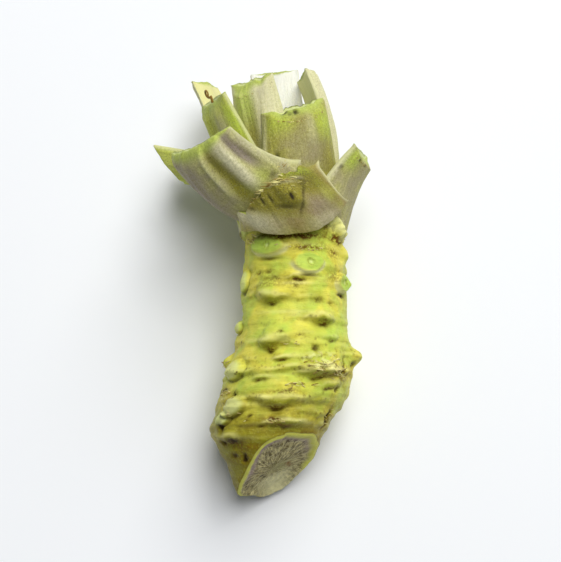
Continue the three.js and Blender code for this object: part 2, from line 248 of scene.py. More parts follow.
PITS = [
    # turn, at, wide, high, deep
    (-45, 58.1, 0.6, 0.5, 0.3), (-32, 58.4, 1.0, 0.5, 0.3), (-24, 56.6, 1.6, 0.4, 0.3),
    (24, 50.8, 0.8, 0.6, 0.3), (41, 50.2, 0.6, 0.5, 0.3), (-12, 42.1, 0.45, 0.4, 0.5),
    (7, 41.5, 0.8, 0.35, 0.3), (-20, 20.1, 0.45, 0.4, 0.5), (-8, 17.3, 0.6, 0.35, 0.4),
    (53, 27.4, 0.6, 0.6, 0.5), (21, 37.8, 0.8, 0.6, 0.5), (-1, 56.1, 0.7, 0.35, 0.3),
    (-1, 54.3, 0.6, 0.4, 0.3), (68, 52.6, 0.9, 0.5, 0.4), (-78, 66.8, 0.6, 1.6, 0.6),
    (-48, 17.2, 0.7, 1.0, 0.9), (-45, 25.9, 0.7, 0.8, 0.6), (-66, 27.2, 1.8, 0.4, 0.6),
    (-80, 26.8, 1.2, 0.5, 0.5), (56, 33.1, 0.4, 2.0, 0.7), (72, 34.4, 0.5, 1.0, 0.5),
    (60, 20.8, 0.5, 1.4, 0.7), (64, 18.6, 0.7, 1.0, 0.7), (-36, 13.9, 1.8, 0.45, 0.7),
    (-54, 13.6, 1.0, 0.5, 0.6), (2, 19.4, 1.4, 0.6, 0.3), (2, 26.6, 1.2, 0.4, 0.3),
    (-30, 9.4, 0.7, 0.9, 0.8), (-44, 10.2, 1.2, 0.5, 0.5),
]
print("stains:", len(STAINS_SHADE_AND_HIGHLIGHTS), "pits:", len(PITS))

# %% [markdown]
# ## The skin's relief
# Each kind of mark is a small height field over the skin. While it raises or sinks the skin, it
# also notes where the tissue is fresh green, cream, brown or nearly black, for the paint to use.
# The rings are the heart of the look: each rises slowly from above and drops off sharply below,
# like a worn collar, wanders a little and fades in places. Across and up are mm from the mark's
# middle, and each formula is a sum of soft bells and ramps.

# %% Relief of one mark
def scar_relief(across, up, wide, high, lift, tone):
    reach = np.hypot(across / wide, up / high)
    vessel = np.hypot(across - 0.1 * wide, up)
    tone["green"] += 1 - ramp(reach, 0.7, 1.0)
    tone["cream"] += bell((reach - 1.02) / 0.13) * ramp(-up, -0.4 * high, 0.5 * high)
    tone["cream"] += 0.7 * bell(vessel / 0.4) * (reach < 1)
    tone["brown"] += 0.6 * bell((vessel - 0.85) / 0.25) * (reach < 1)
    # painted shadow: near black under the scar's lower edge, where it overhangs
    tone["dark"] += bell(across / (0.62 * wide)) * bell((up + 1.3 * high) / 0.42)
    height = lift * (1 - ramp(reach, 0.82, 1.14)) - 0.35 * (1 - ramp(reach, 0.1, 0.8))
    height += 0.22 * bell((vessel - 1.15) / 0.3) - 0.1 * bell(vessel / 0.5)
    return height - 0.8 * bell(across / (0.7 * wide)) * bell((up + 1.3 * high) / 0.55)


def lip_relief(across, up, wide, high, lift, tone):
    side = across / wide
    lean = side - 0.22 * np.sin(9 * wide + 5 * high)
    upper = (up + 0.5 * high * side**2) / high
    lower = (up - 0.5 * high * np.abs(lean) ** 1.5) / high
    fade = bell(side * 1.1)
    # painted highlight along the lip's upper rim, and painted shade under its overhang: olive, then brown
    # and near black down into the pocket
    tone["crest_and_highlight"] += 0.7 * fade * bell((upper - 0.25) / 0.26)
    tone["olive"] += 1.2 * bell(lean * 1.3) * bell((lower + 0.4) / 0.42)
    tone["brown"] += 1.2 * bell(lean * 2.4) * bell((lower + 0.74) / 0.24)
    tone["dark"] += 0.9 * bell(lean * 3.6) * bell((lower + 0.86) / 0.15)
    body = bell(np.maximum(upper, 0) / 1.25) * (1 - 0.3 * ramp(-upper, 0, 0.8))
    body = body * (1 - ramp(-lower, 0.35, 1.0))
    return 1.35 * lift * fade * (body - 0.25 * bell((lower + 1.1) / 0.36))


def bud_relief(across, up, wide, high, lift, tone):
    reach = np.hypot(across / wide, up / high)
    tone["pale"] += 1.2 * (1 - ramp(reach, 0.7, 1.05))
    tone["brown"] *= ramp(reach, 0.8, 1.2)
    # painted shade: near black along the crease on the bud's lower side only
    tone["dark"] += 0.8 * bell((reach - 1.15) / 0.16) * ramp(-up, -0.1 * high, 0.9 * high)
    dome = np.sqrt(np.clip(1 - (reach / 1.12) ** 2, 0, 1))
    return lift * dome - 0.4 * bell((reach - 1.2) / 0.2)


def knob_relief(across, up, wide, high, lift, tone):
    reach = np.hypot(across / wide, up / high)
    return lift * np.exp(-(reach**2.6))


def pit_relief(across, up, wide, high, deep, tone):
    reach = np.hypot(across / wide, up / high)
    # painted shade: near black in the hole, darker the deeper it is
    tone["dark"] += 2.0 * deep * bell(reach)
    tone["brown"] += 0.7 * bell(reach * 0.55)
    return -1.3 * deep * bell(reach)


def shoot_relief(across, up, wide, high, lift, tone):
    height = bud_relief(across, up, wide, high, lift, tone)
    tone["green"] += 0.9 * (1 - ramp(np.hypot(across / wide, up / high), 0.7, 1.1))
    return height


def stub_relief(across, up, wide, high, lift, tone):
    spot = np.stack([across, up, np.zeros_like(up)], axis=-1)
    lumps = cloud(spot, (1.4, 1.2, 1), 55, 2)
    reach = np.hypot(across / wide, up / high)
    # painted highlight on the tops of the lumps, and brown painted shade between them
    tone["crest_and_highlight"] += (1 - ramp(reach, 0.6, 1.2)) * (0.6 + 1.4 * lumps)
    tone["pale"] += 0.7 * (1 - ramp(reach, 0.6, 1.0))
    tone["brown"] += 1.0 * (1 - ramp(reach, 0.9, 1.5)) * ramp(-lumps, 0.0, 0.4)
    return lift * np.exp(-(reach**3)) * (1 + 0.6 * lumps)


KINDS = {
    "scar": scar_relief, "lip": lip_relief, "bud": bud_relief, "knob": knob_relief,
    "shoot": shoot_relief, "stub": stub_relief,
}
print("kinds of mark:", ", ".join(KINDS))

# %% [markdown]
# ## Rings, and the torn roots
# Each ring follows its own mark, slants a little and wanders. One ragged patch shows where old
# roots tore away. Each layer of random values has its own seed.

# %% Rings and the torn roots
TONES = ("green", "cream", "brown", "dark", "pale", "crest_and_highlight", "olive", "band", "tip")
RAGGED = (28, 34.6, 6.4, 2.7)
RING_SEEDS = {"wander": 40, "quiver": 90, "strength": 140, "broken": 240, "patchy": 340}


def mm_across(side, turn, radius=NECK_RADIUS):
    """How far to the right of a mark's turn each place lies, along a stem of that radius."""
    return turn_between(side, math.radians(turn)) * radius


def ring_relief(side, height, around, tone):
    """Collars round the stem: each rises slowly from above and drops off sharply below."""
    total = np.zeros_like(height)
    for number, (kind, turn, at, wide, high, lift, ring) in enumerate(MARKS):
        if ring == 0:
            continue
        seeds = {name: seed + number for name, seed in RING_SEEDS.items()}
        away = turn_between(side, math.radians(turn))
        wander = 0.9 * cloud(around, (9, 60, 9), seeds["wander"])
        wander = wander + 0.25 * cloud(around, (2.5, 30, 2.5), seeds["quiver"])
        up = height - at + RING_SLANT * (1 - np.cos(away)) + wander
        strength = ring * (0.35 + 0.65 * np.cos(away / 2) ** 2) * mix(1, 0.72, ramp(at, 30, 50))
        strength = strength * (0.8 + 0.55 * cloud(around, (7, 30, 7), seeds["strength"]))
        crest_and_highlight = np.where(up < 0, bell(up / 0.85), np.exp(-(np.abs(up / RING_ABOVE) ** 1.3)))
        total += strength * (crest_and_highlight - 0.25 * bell((up + 1.2) / 0.6))
        patchy = 0.5 + 0.8 * cloud(around, (4, 3, 4), seeds["patchy"])
        # painted highlight: a patchy pale colour along each ring's crest
        tone["crest_and_highlight"] += strength * np.clip(patchy, 0, 1.2) * bell((up - 0.4) / 0.45)
        tone["band"] += 1.2 * strength * np.clip(1.3 - patchy, 0.2, 1.2) * bell((up - 0.1) / 1.4)
        broken = ramp(cloud(around, (1.3, 2.5, 1.3), seeds["broken"]), 0.1, 0.5)
        tone["brown"] += 0.9 * strength * bell((up + 0.75) / 0.3) * broken
    return total


def ragged_relief(side, height, around, tone):
    """The patch where old roots tore away: shreds, cream on top and brown between."""
    turn, at, wide, high = RAGGED
    across = mm_across(side, turn, BELLY_RADIUS)
    torn = 1 - ramp(np.hypot(across / wide, (height - at) / high), 0.7, 1.15)
    shreds = cloud(around, (1.5, 0.9, 1.5), 7, 3)
    tone["cream"] += 0.55 * torn * ramp(shreds, 0.0, 0.7)
    tone["brown"] += torn * ramp(-shreds, 0.1, 0.8) * 0.8
    return torn * 0.55 * shreds


print("layers of random values in each ring:", len(RING_SEEDS))

# %% [markdown]
# ## The whole relief
# The rings, all marks and finer unevenness add up: soft lumps, and wrinkles that run round the
# stem. The marks' outlines are bent a little, so that none is a plain oval.

# %% The whole relief
def relief(side, height):
    """How far the skin stands out in mm, and the masks that its marks paint."""
    tone = {name: np.zeros_like(height) for name in TONES}
    around = np.stack([AROUND_RADIUS * np.sin(side), height, AROUND_RADIUS * np.cos(side)], axis=-1)
    total = ring_relief(side, height, around, tone)
    bent = 1.1 * cloud(around, (3.2, 3.2, 3.2), 61, 2)
    bent_up = 1.1 * cloud(around, (3.0, 3.6, 3.0), 62, 2)
    for kind, turn, at, wide, high, lift, ring in MARKS:
        across = mm_across(side, turn)
        near = (np.abs(across) < 3 * wide) & (np.abs(height - at) < 3.5 * high)
        local = {name: values[near] for name, values in tone.items()}
        shift = 1.0 if kind == "lip" else 0.35
        sideways = across[near] + shift * bent[near]
        upwards = height[near] - at + 0.55 * shift * bent_up[near]
        total[near] += KINDS[kind](sideways, upwards, wide, high, lift, local)
        for name, values in local.items():
            tone[name][near] = values

    uneven = 0.5 * cloud(around, (1.1, 0.8, 1.1), 21, 2)
    for turn, at, wide, high, deep in PITS:
        across = mm_across(side, turn, girth(np.array(at)))
        total += pit_relief(across + uneven, height - at + 0.7 * uneven, wide, high, deep, tone)
    for name, turn, at, wide, high, strength in STAINS_SHADE_AND_HIGHLIGHTS:
        across = mm_across(side, turn)
        reach = np.hypot(across / wide, (height - at) / high) + 0.25 * uneven
        tone[name] += strength * bell(reach)
    total += ragged_relief(side, height, around, tone)

    total += 0.5 * cloud(around, (8, 6, 8), 1)
    total += 0.12 * cloud(around, (5.0, 1.3, 5.0), 2, 3)
    total += 0.04 * cloud(around, 0.9, 3, 2)
    tone["tip"] += ramp(-height, -31, -9)
    # partly painted shadow along the sheath's foot and partly brown specks: a brown band, broken up
    shadow_and_specks = ramp(cloud(around, (2.2, 1.2, 2.2), 31, 3), -0.1, 0.5)
    tone["brown"] += 0.9 * bell((height - 67.6) / 1.3) * shadow_and_specks
    return total, tone


print("masks on the skin:", ", ".join(TONES))

# %% [markdown]
# ## The skin as a grid
# The skin is a grid of places: columns round the stem and rows up it. The lowest row follows the
# knife's cut across the tip, found for every column by halving an interval until it closes. Past
# the dome's foot the rows close over the growing point.

# %% The skin
SIDES = 320
ROWS = 250
CUT_NORMAL = unit(np.array([0.46, -0.806, 0.373]))
CUT_OFFSET = 4.83
CUT_BETWEEN = (-12.0, 40.0)
HALVINGS = 24
DIP, DIP_TURN, DIP_WIDTH = 3.0, math.radians(4), math.radians(32)
DOME_CLOSED = 0.97


def skin_point(side, height, lifted=None):
    over = np.clip((height - DOME_AT) / DOME_HEIGHT, 0, 1) * np.pi / 2
    level = np.where(height < DOME_AT, height, DOME_AT + DOME_HEIGHT * np.sin(over))
    low = np.minimum(height, DOME_AT)
    oval = 1 + 0.025 * np.cos(2 * side + 0.6) + 0.015 * np.cos(3 * side + height / 14)
    raised = relief(side, low)[0] if lifted is None else lifted
    radius = (girth(low) * oval + raised) * np.cos(over)
    ring = np.stack([np.sin(side), np.zeros_like(side), np.cos(side)], axis=-1)
    return stem_centre(level) + ring * radius[..., None]


def halved(low, high, falls_short, steps):
    """Where, between low and high, falls_short turns from true to false."""
    for step in range(steps):
        middle = (low + high) / 2
        short = falls_short(middle)
        low = np.where(short, middle, low)
        high = np.where(short, high, middle)
    return (low + high) / 2


side_line = (np.arange(SIDES) / SIDES * 2 - 1) * np.pi


def below_cut(height):
    return skin_point(side_line, height) @ CUT_NORMAL + CUT_OFFSET > 0


start_line = halved(*(np.full(SIDES, height) for height in CUT_BETWEEN), below_cut, HALVINGS)
start_line = start_line + DIP * bell(turn_between(side_line, DIP_TURN) / DIP_WIDTH)
along = np.linspace(0, 1, ROWS + 1)[:, None]
height_grid = mix(start_line[None, :], DOME_AT + DOME_CLOSED * DOME_HEIGHT, along)
side_grid = np.broadcast_to(side_line[None, :], height_grid.shape)
raised, tones = relief(side_grid.copy(), height_grid)
skin = skin_point(side_grid, height_grid, raised)
print("skin:", skin.shape, "relief in mm:", raised.min().round(2), raised.max().round(2))

# %% [markdown]
# ## Meshes from grids
# Every surface here is a grid of points, so small helpers turn rows of points into faces, join
# grids, and make the mesh with its painted masks. A mask is a number at each point, such as how
# brown it is.

# %% Mesh helpers
MM = 0.001


def grid_faces(index, closed=False):
    """Faces between neighbouring rows and columns of a table of point numbers."""
    if closed:
        index = np.concatenate([index, index[:, :1]], axis=1)
    corners = index[:-1, :-1], index[:-1, 1:], index[1:, 1:], index[1:, :-1]
    return np.stack([corner.ravel() for corner in corners], axis=-1)


def fan(ring, middle):
    """Triangles from each side of a ring to one point in its middle."""
    return np.stack([ring, np.roll(ring, -1), np.full_like(ring, middle)], axis=-1).tolist()


def joined(*grids):
    """The places of several grids in one list."""
    return np.concatenate([grid.reshape(-1, 3) for grid in grids])


def into_scene(name, data):
    """A new object made of that data, linked to the scene."""
    made = bpy.data.objects.new(name, data)
    bpy.context.scene.collection.objects.link(made)
    return made


def make_piece(name, points, faces, masks, grain):
    mesh = bpy.data.meshes.new(name)
    mesh.from_pydata((laid(points) * MM).tolist(), [], [list(face) for face in faces])
    for mask, values in masks.items():
        layer = mesh.attributes.new(mask, "FLOAT", "POINT")
        layer.data.foreach_set("value", np.asarray(values, np.float32).ravel())
    layer = mesh.attributes.new("grain", "FLOAT_VECTOR", "POINT")
    layer.data.foreach_set("vector", np.asarray(grain, np.float32).ravel())
    mesh.polygons.foreach_set("use_smooth", np.ones(len(mesh.polygons), bool))
    mesh.update()
    print(name, "faces:", len(faces), "points:", len(points))
    return into_scene(name, mesh)


# %% [markdown]
# ## The stalks' shape
# Each leaf stalk is a trough: a strip of flesh, thick in the middle and thin at its margins, bent
# round the crown and leaning along its own curve. Its end is a knife cut, and most cuts are pared
# down to the outside. A stalk is described by where its foot, knee and top lie, as distances out
# from the crown's axis and up along it, and by its width, roundness and thickness at foot and top.
# The bevel is how far down the back the cut is pared, sway shifts the top aside, and slide shifts
# the strip round its bend at foot and top. All are in mm, and the cut's tilt and twist are in
# degrees. The values are those of the solids.

# %% The list of stalks
STALKS = [
    # name, turn, foot, knee, top,
    #   wide, round, thick, cut, bevel, and where it has them sway and slide
    ("heart_stalk_left", -60, (5, 14), (5.5, 24), (4.5, 36),
     (9, 7), (5, 4), (2.6, 0.8), (10, 0), 1),
    ("heart_stalk_right", 120, (5.5, 13), (6, 24), (5, 34),
     (10, 8), (5.5, 4.5), (2.6, 0.8), (-8, 0), 1),
    ("back_stalk", 180, (8.5, 10), (12, 28), (13, 51),
     (24, 15), (9, 9), (3.4, 0.8), (8, 0), 1.2),
    ("inner_right_stalk", 98, (10, 8), (20, 24), (11, 48),
     (28, 16), (10.5, 9), (3.6, 0.9), (12, 0), 1.2),
    ("inner_left_stalk", -34, (10.5, 7), (14, 26), (15.8, 43.5),
     (28, 16), (11, 9), (3.8, 0.9), (14, 0), 3.6),
    ("far_right_stalk", 130, (12, 6), (14.5, 18), (15.5, 25),
     (30, 14), (12.5, 9), (4.2, 0.9), (10, 0), 1.2),
    ("far_left_stalk", -127, (12, 6), (19, 28), (28, 50),
     (30, 13), (12.5, 8), (4.2, 0.9), (10, 0), 2),
    ("upper_left_stalk", -64, (12.5, 5), (17, 22), (23, 38.5),
     (30, 17), (13, 10), (4.2, 0.9), (14, 0), 4.2),
    ("centre_stalk", 24, (13, 4), (18.5, 18), (17, 35),
     (36, 24), (13.5, 11), (4.4, 1.0), (16, 10), 3.6, -1),
    ("left_stalk", -109, (13.8, 2.5), (15.4, 17), (30.4, 22),
     (34, 26), (14, 8.6), (4.4, 1.0), (44, 0), 0),
    ("under_right_stalk", 160, (13.8, 2), (20, 18), (30, 31),
     (34, 15), (14.2, 10), (4.6, 1.0), (8, 0), 1.5),
    ("under_left_stalk", -160, (14.2, 1.5), (20, 17), (30.2, 31),
     (36, 18), (14.6, 10), (4.8, 1.0), (8, 0), 1.5),
    ("right_stalk", 76, (14.2, 1.5), (18, 12), (24.2, 18.8),
     (36, 20), (14.8, 10), (4.6, 1.0), (16, 0), 1.6),
    ("front_left_stalk", -45, (12.8, 5.0), (26.6, 9.4), (36.5, 22.2),
     (48, 29.5), (14.6, 12), (4.8, 1.0), (-2, 0), 3.8, -1),
    ("front_sheath", 3, (16.4, -0.7), (25.8, 7.0), (21.5, 17.0),
     (39, 33), (16.4, 15.5), (3.0, 1.0), (0, 24), 0.5, 0, (1.5, -9)),
]
# where a foot isn't straight: places across, and how far up each lies in mm
FOOT_LINES = {"front_sheath": ((-1, -0.62, -0.3, 0.3, 0.62, 1), (-4.0, 0.1, 0.8, 0.9, 1.8, 4.0))}
print("stalks listed:", len(STALKS))

# %% [markdown]
# ## One stalk's surface as a formula
# A small class turns a row of the list into places: it is asked for the point that lies so far
# across, so far up and so far inward, and it knows where the knife's plane ends each column.

# %% The stalk's formulas
PARED = 0.85                # the share of the flesh that a pared cut takes away
FLESH_POWER = 2.2           # how evenly thick the flesh is across
WIDEN_POWER = 0.7           # how soon a stalk takes its upper width
END_BETWEEN = (0.3, 1.8)    # shares of the length between which every cut lies
END_HALVINGS = 22
LENGTH_STEPS = 200
CROWN_FOOT = np.array([LINE_END, STEM_LENGTH, 0.0])
CROWN_UP = np.array([-math.sin(CROWN_LEAN), math.cos(CROWN_LEAN), 0.0])
CROWN_RIGHT = np.array([CROWN_UP[1], -CROWN_UP[0], 0.0])
CROWN_TOP = np.array([0.0, 0.0, 1.0])


def turned(v, axis, angle):
    return v * np.cos(angle) + np.cross(axis, v) * np.sin(angle) + axis * (axis @ v) * (1 - np.cos(angle))


class Stalk:
    """The places of one stalk in the growth frame; across runs from -1 to 1, t from 0 to 1."""

    def __init__(self, name, turn, foot, knee, top, wide, around, thick, cut, bevel,
                 sway=0, slide=(0, 0)):
        self.name, self.wide, self.around, self.thick = name, wide, around, thick
        self.slide, self.bevel = slide, bevel
        turn = math.radians(turn)
        self.outward = CROWN_RIGHT * math.sin(turn) + CROWN_TOP * math.cos(turn)
        sideways = CROWN_RIGHT * math.cos(turn) - CROWN_TOP * math.sin(turn)
        self.knots = [
            CROWN_FOOT + self.outward * out + CROWN_UP * up + sideways * shift
            for (out, up), shift in ((foot, 0), (knee, 0), (top, sway))
        ]
        steps = self.back(np.linspace(0, 1, LENGTH_STEPS + 1))
        self.length = np.linalg.norm(np.diff(steps, axis=0), axis=1).sum()
        way, out, aside = self.axes(np.array(1.0))
        facing = turned(way, aside, math.radians(cut[0]))
        self.facing = turned(facing, out, math.radians(cut[1]))

    def back(self, t):
        t = np.asarray(t, float)[..., None]
        foot, knee, top = self.knots
        return (1 - t) ** 2 * foot + 2 * t * (1 - t) * knee + t * t * top

    def axes(self, t):
        t = np.asarray(t, float)[..., None]
        foot, knee, top = self.knots
        way = unit((1 - t) * (knee - foot) + t * (top - knee))
        out = unit(self.outward - way * (way @ self.outward)[..., None])
        return way, out, np.cross(way, out)

    def flesh(self, across):
        """1 in the middle and 0 at the margins."""
        return 1 - np.minimum(np.abs(across), 1) ** FLESH_POWER

    def width(self, t):
        return mix(self.wide[0], self.wide[1], np.clip(t, 0, 1) ** WIDEN_POWER)

    def point(self, across, t, inward, pared=0.0, raised=0.0):
        """inward is 0 on the outer side and 1 on the hollow side; raised is relief in mm."""
        on = np.clip(t, 0, 1)
        way, out, aside = self.axes(on)
        middle = self.back(on) + way * ((t - on) * self.length)[..., None]
        radius = mix(self.around[0], self.around[1], on)
        angle = (across * self.width(on) / 2 + mix(self.slide[0], self.slide[1], on)) / radius
        normal = out * np.cos(angle)[..., None] + aside * np.sin(angle)[..., None]
        crown = (self.thick[0] - self.thick[1]) * self.flesh(across)
        outer = radius - pared * PARED * crown
        inner = radius - self.thick[1] - crown
        reach = mix(outer, inner, inward) + raised
        return middle - out * radius[..., None] + normal * reach[..., None]

    def ends(self, across, inward):
        """How far up each column goes before it meets the knife's plane."""
        low, high = (np.full(across.shape, share) for share in END_BETWEEN)

        def falls_short(t):
            return (self.point(across, t, inward) - self.knots[2]) @ self.facing < 0

        return halved(low, high, falls_short, END_HALVINGS)

    def start(self, across):
        """How far up each column begins, as a share of the length."""
        places, levels = FOOT_LINES.get(self.name, ((-1, 1), (0, 0)))
        return np.interp(across, places, levels) / self.length

    def slope(self, across):
        """How far down the back the cut is pared, as a share of the length."""
        return self.bevel * np.maximum(self.flesh(across), 0.1) / self.length


stalks = [Stalk(*row) for row in STALKS]
print("stalks:", len(stalks), "lengths in mm:", [round(float(s.length)) for s in stalks])

# %% [markdown]
# ## Where the plant lies
# The plant is tipped a little, so that it rests on its belly and on the stubs beneath. The tips of
# the stalks are the outermost points of both the formulas and the solids, so comparing the two
# boxes gives the one shift that carries every surface to its solid.

# %% Laying the plant down
TIP_SAMPLES = 10
tips = []
for stalk in stalks:
    across, inward = np.meshgrid(np.linspace(-1, 1, TIP_SAMPLES), [0.0, 1.0])
    end = stalk.ends(across, inward)
    pared = 1.0 if stalk.bevel > 0 else 0.0
    tips.append(stalk.point(across, end, inward, pared).reshape(-1, 3))
    tips.append(stalk.point(across, end - stalk.slope(across), inward).reshape(-1, 3))
PITCH = np.array([
    [1, 0, 0],
    [0, math.cos(LIE_PITCH), -math.sin(LIE_PITCH)],
    [0, math.sin(LIE_PITCH), math.cos(LIE_PITCH)],
])
tips = np.concatenate(tips) @ PITCH.T
low_mm, high_mm = (np.array(corner) / MM for corner in cad_box)
place = high_mm - tips.max(axis=0)


def laid(points):
    """From the growth frame to where the plant lies; the surface presses its lowest places flat."""
    moved = points @ PITCH.T + place
    moved[..., 2] = np.maximum(moved[..., 2], 0)
    return moved


print("place in mm:", place.round(3), "low x:", (tips.min(axis=0) + place - low_mm).round(2))

# %% [markdown]
# ## The rhizome
# The skin grid is closed by the knife's face at the tip, a disc of rings that follows the cut's
# plane, and by the growing point, which is out of sight under the stalks.

# %% The rhizome's cut face
FACE_RINGS = 46


def cut_face(rim):
    """Rings inside the rim: their places, the same in the cut's plane, and their mm from the rim."""
    shares = (1 - np.linspace(0, 1, FACE_RINGS + 1)[1:-1]) ** 0.9
    middle = rim.mean(axis=0)
    right = unit(np.array([1.0, 0, 0]) - CUT_NORMAL * CUT_NORMAL[0])
    up = np.cross(CUT_NORMAL, right)
    places = middle + (rim - middle) * shares[:, None, None]
    flat = np.stack([(places - middle) @ right, (places - middle) @ up], axis=-1)
    from_rim = (1 - shares)[:, None] * np.linalg.norm(rim - middle, axis=-1)
    level = np.zeros_like(flat[..., :1])
    fibres = cloud(np.concatenate([flat, level], axis=-1), (0.9, 0.9, 1), 11, 3)
    height = 0.35 * bell((from_rim - 0.9) / 0.7) - 0.5 * ramp(from_rim, 1.2, 4.5) + 0.14 * fibres
    height = height * ramp(from_rim, 0.0, 0.5)
    return places + CUT_NORMAL * height[..., None], flat, from_rim


face, flat, from_rim = cut_face(skin[0])
print("face:", face.shape, "half widths:", np.abs(flat).max(axis=(0, 1)).round(1))

# %% [markdown]
# ## What shows on the cut
# The cut face has a bright rim that is widest on the right, a mauve arc under it at the top, green
# flesh near its middle, cream below, and a few dark cracks and brown spots.

# %% The cut's masks
FACE_SPOTS = [
    # mask, right, up, half size, strength
    ("dark", -3.4, -1.2, 0.5, 0.9), ("dark", -2.6, -2.4, 0.45, 0.9), ("dark", -6.2, -4.6, 0.4, 0.8),
    ("dark", 0.6, 2.2, 0.4, 0.6), ("brown", 4.6, -0.6, 0.8, 1.0), ("brown", 5.0, -2.2, 0.7, 0.9),
]


def flesh_masks(flat, from_rim):
    right, up = flat[..., 0], flat[..., 1]
    masks = {name: np.zeros_like(right) for name in TONES}
    masks["face"] = np.ones_like(right)
    rim_width = 1.0 + 1.3 * ramp(right, -2, 5) + 0.5 * ramp(up, -2, 3)
    rim_width = rim_width * (0.35 + 0.65 * ramp(up, -8, -4))
    masks["rim"] = 1 - ramp(from_rim / rim_width, 0.45, 1.35)
    masks["mauve"] = bell((from_rim - 2.6) / 1.3) * ramp(up, -1, 4)
    masks["green"] += bell(np.hypot(right - 2.5, up + 0.5) / 3.0)
    masks["cream"] += ramp(-up, 2.0, 6) * bell((right - 0.5) / 5)
    for name, at_right, at_up, half, strength in FACE_SPOTS:
        masks[name] = masks[name] + strength * bell(np.hypot(right - at_right, up - at_up) / half)
    return masks


face_masks = flesh_masks(flat, from_rim)
print("masks of the face:", ", ".join(face_masks))

# %% [markdown]
# ## The rhizome in one piece
# Skin, face and the closing points become one mesh. Skin and face carry the same masks, which are
# blank where they don't apply, and the face's grain runs from its rim to its middle.

# %% The rhizome's piece
FACE_GRAIN = 9

ends = np.stack([face[-1].mean(axis=0), skin[-1].mean(axis=0)])
points = joined(skin, face, ends)
index = np.arange(skin[..., 0].size).reshape(skin.shape[:2])
face_index = index.size + np.arange(face[..., 0].size).reshape(face.shape[:2])
face_index = np.concatenate([index[:1], face_index])
faces = np.concatenate([grid_faces(index, True), grid_faces(face_index, True)[:, ::-1]])
face_end, skin_end = len(points) - 2, len(points) - 1
faces = faces.tolist() + fan(face_index[-1][::-1], face_end) + fan(index[-1], skin_end)
blank_skin = np.zeros_like(height_grid)
rhizome_masks = {}
for name, values in face_masks.items():
    parts = [tones.get(name, blank_skin).ravel(), values.ravel(), values[-1, :1], [0]]
    rhizome_masks[name] = np.concatenate(parts)
rays = np.broadcast_to(unit(flat[:1]) * FACE_GRAIN, flat.shape)
face_grain = np.stack([rays[..., 0], from_rim, rays[..., 1]], axis=-1)
grain = joined(skin, face_grain, face_grain[-1, :1], skin[-1, :1])
rhizome = make_piece("rhizome_skin", points, faces, rhizome_masks, grain)
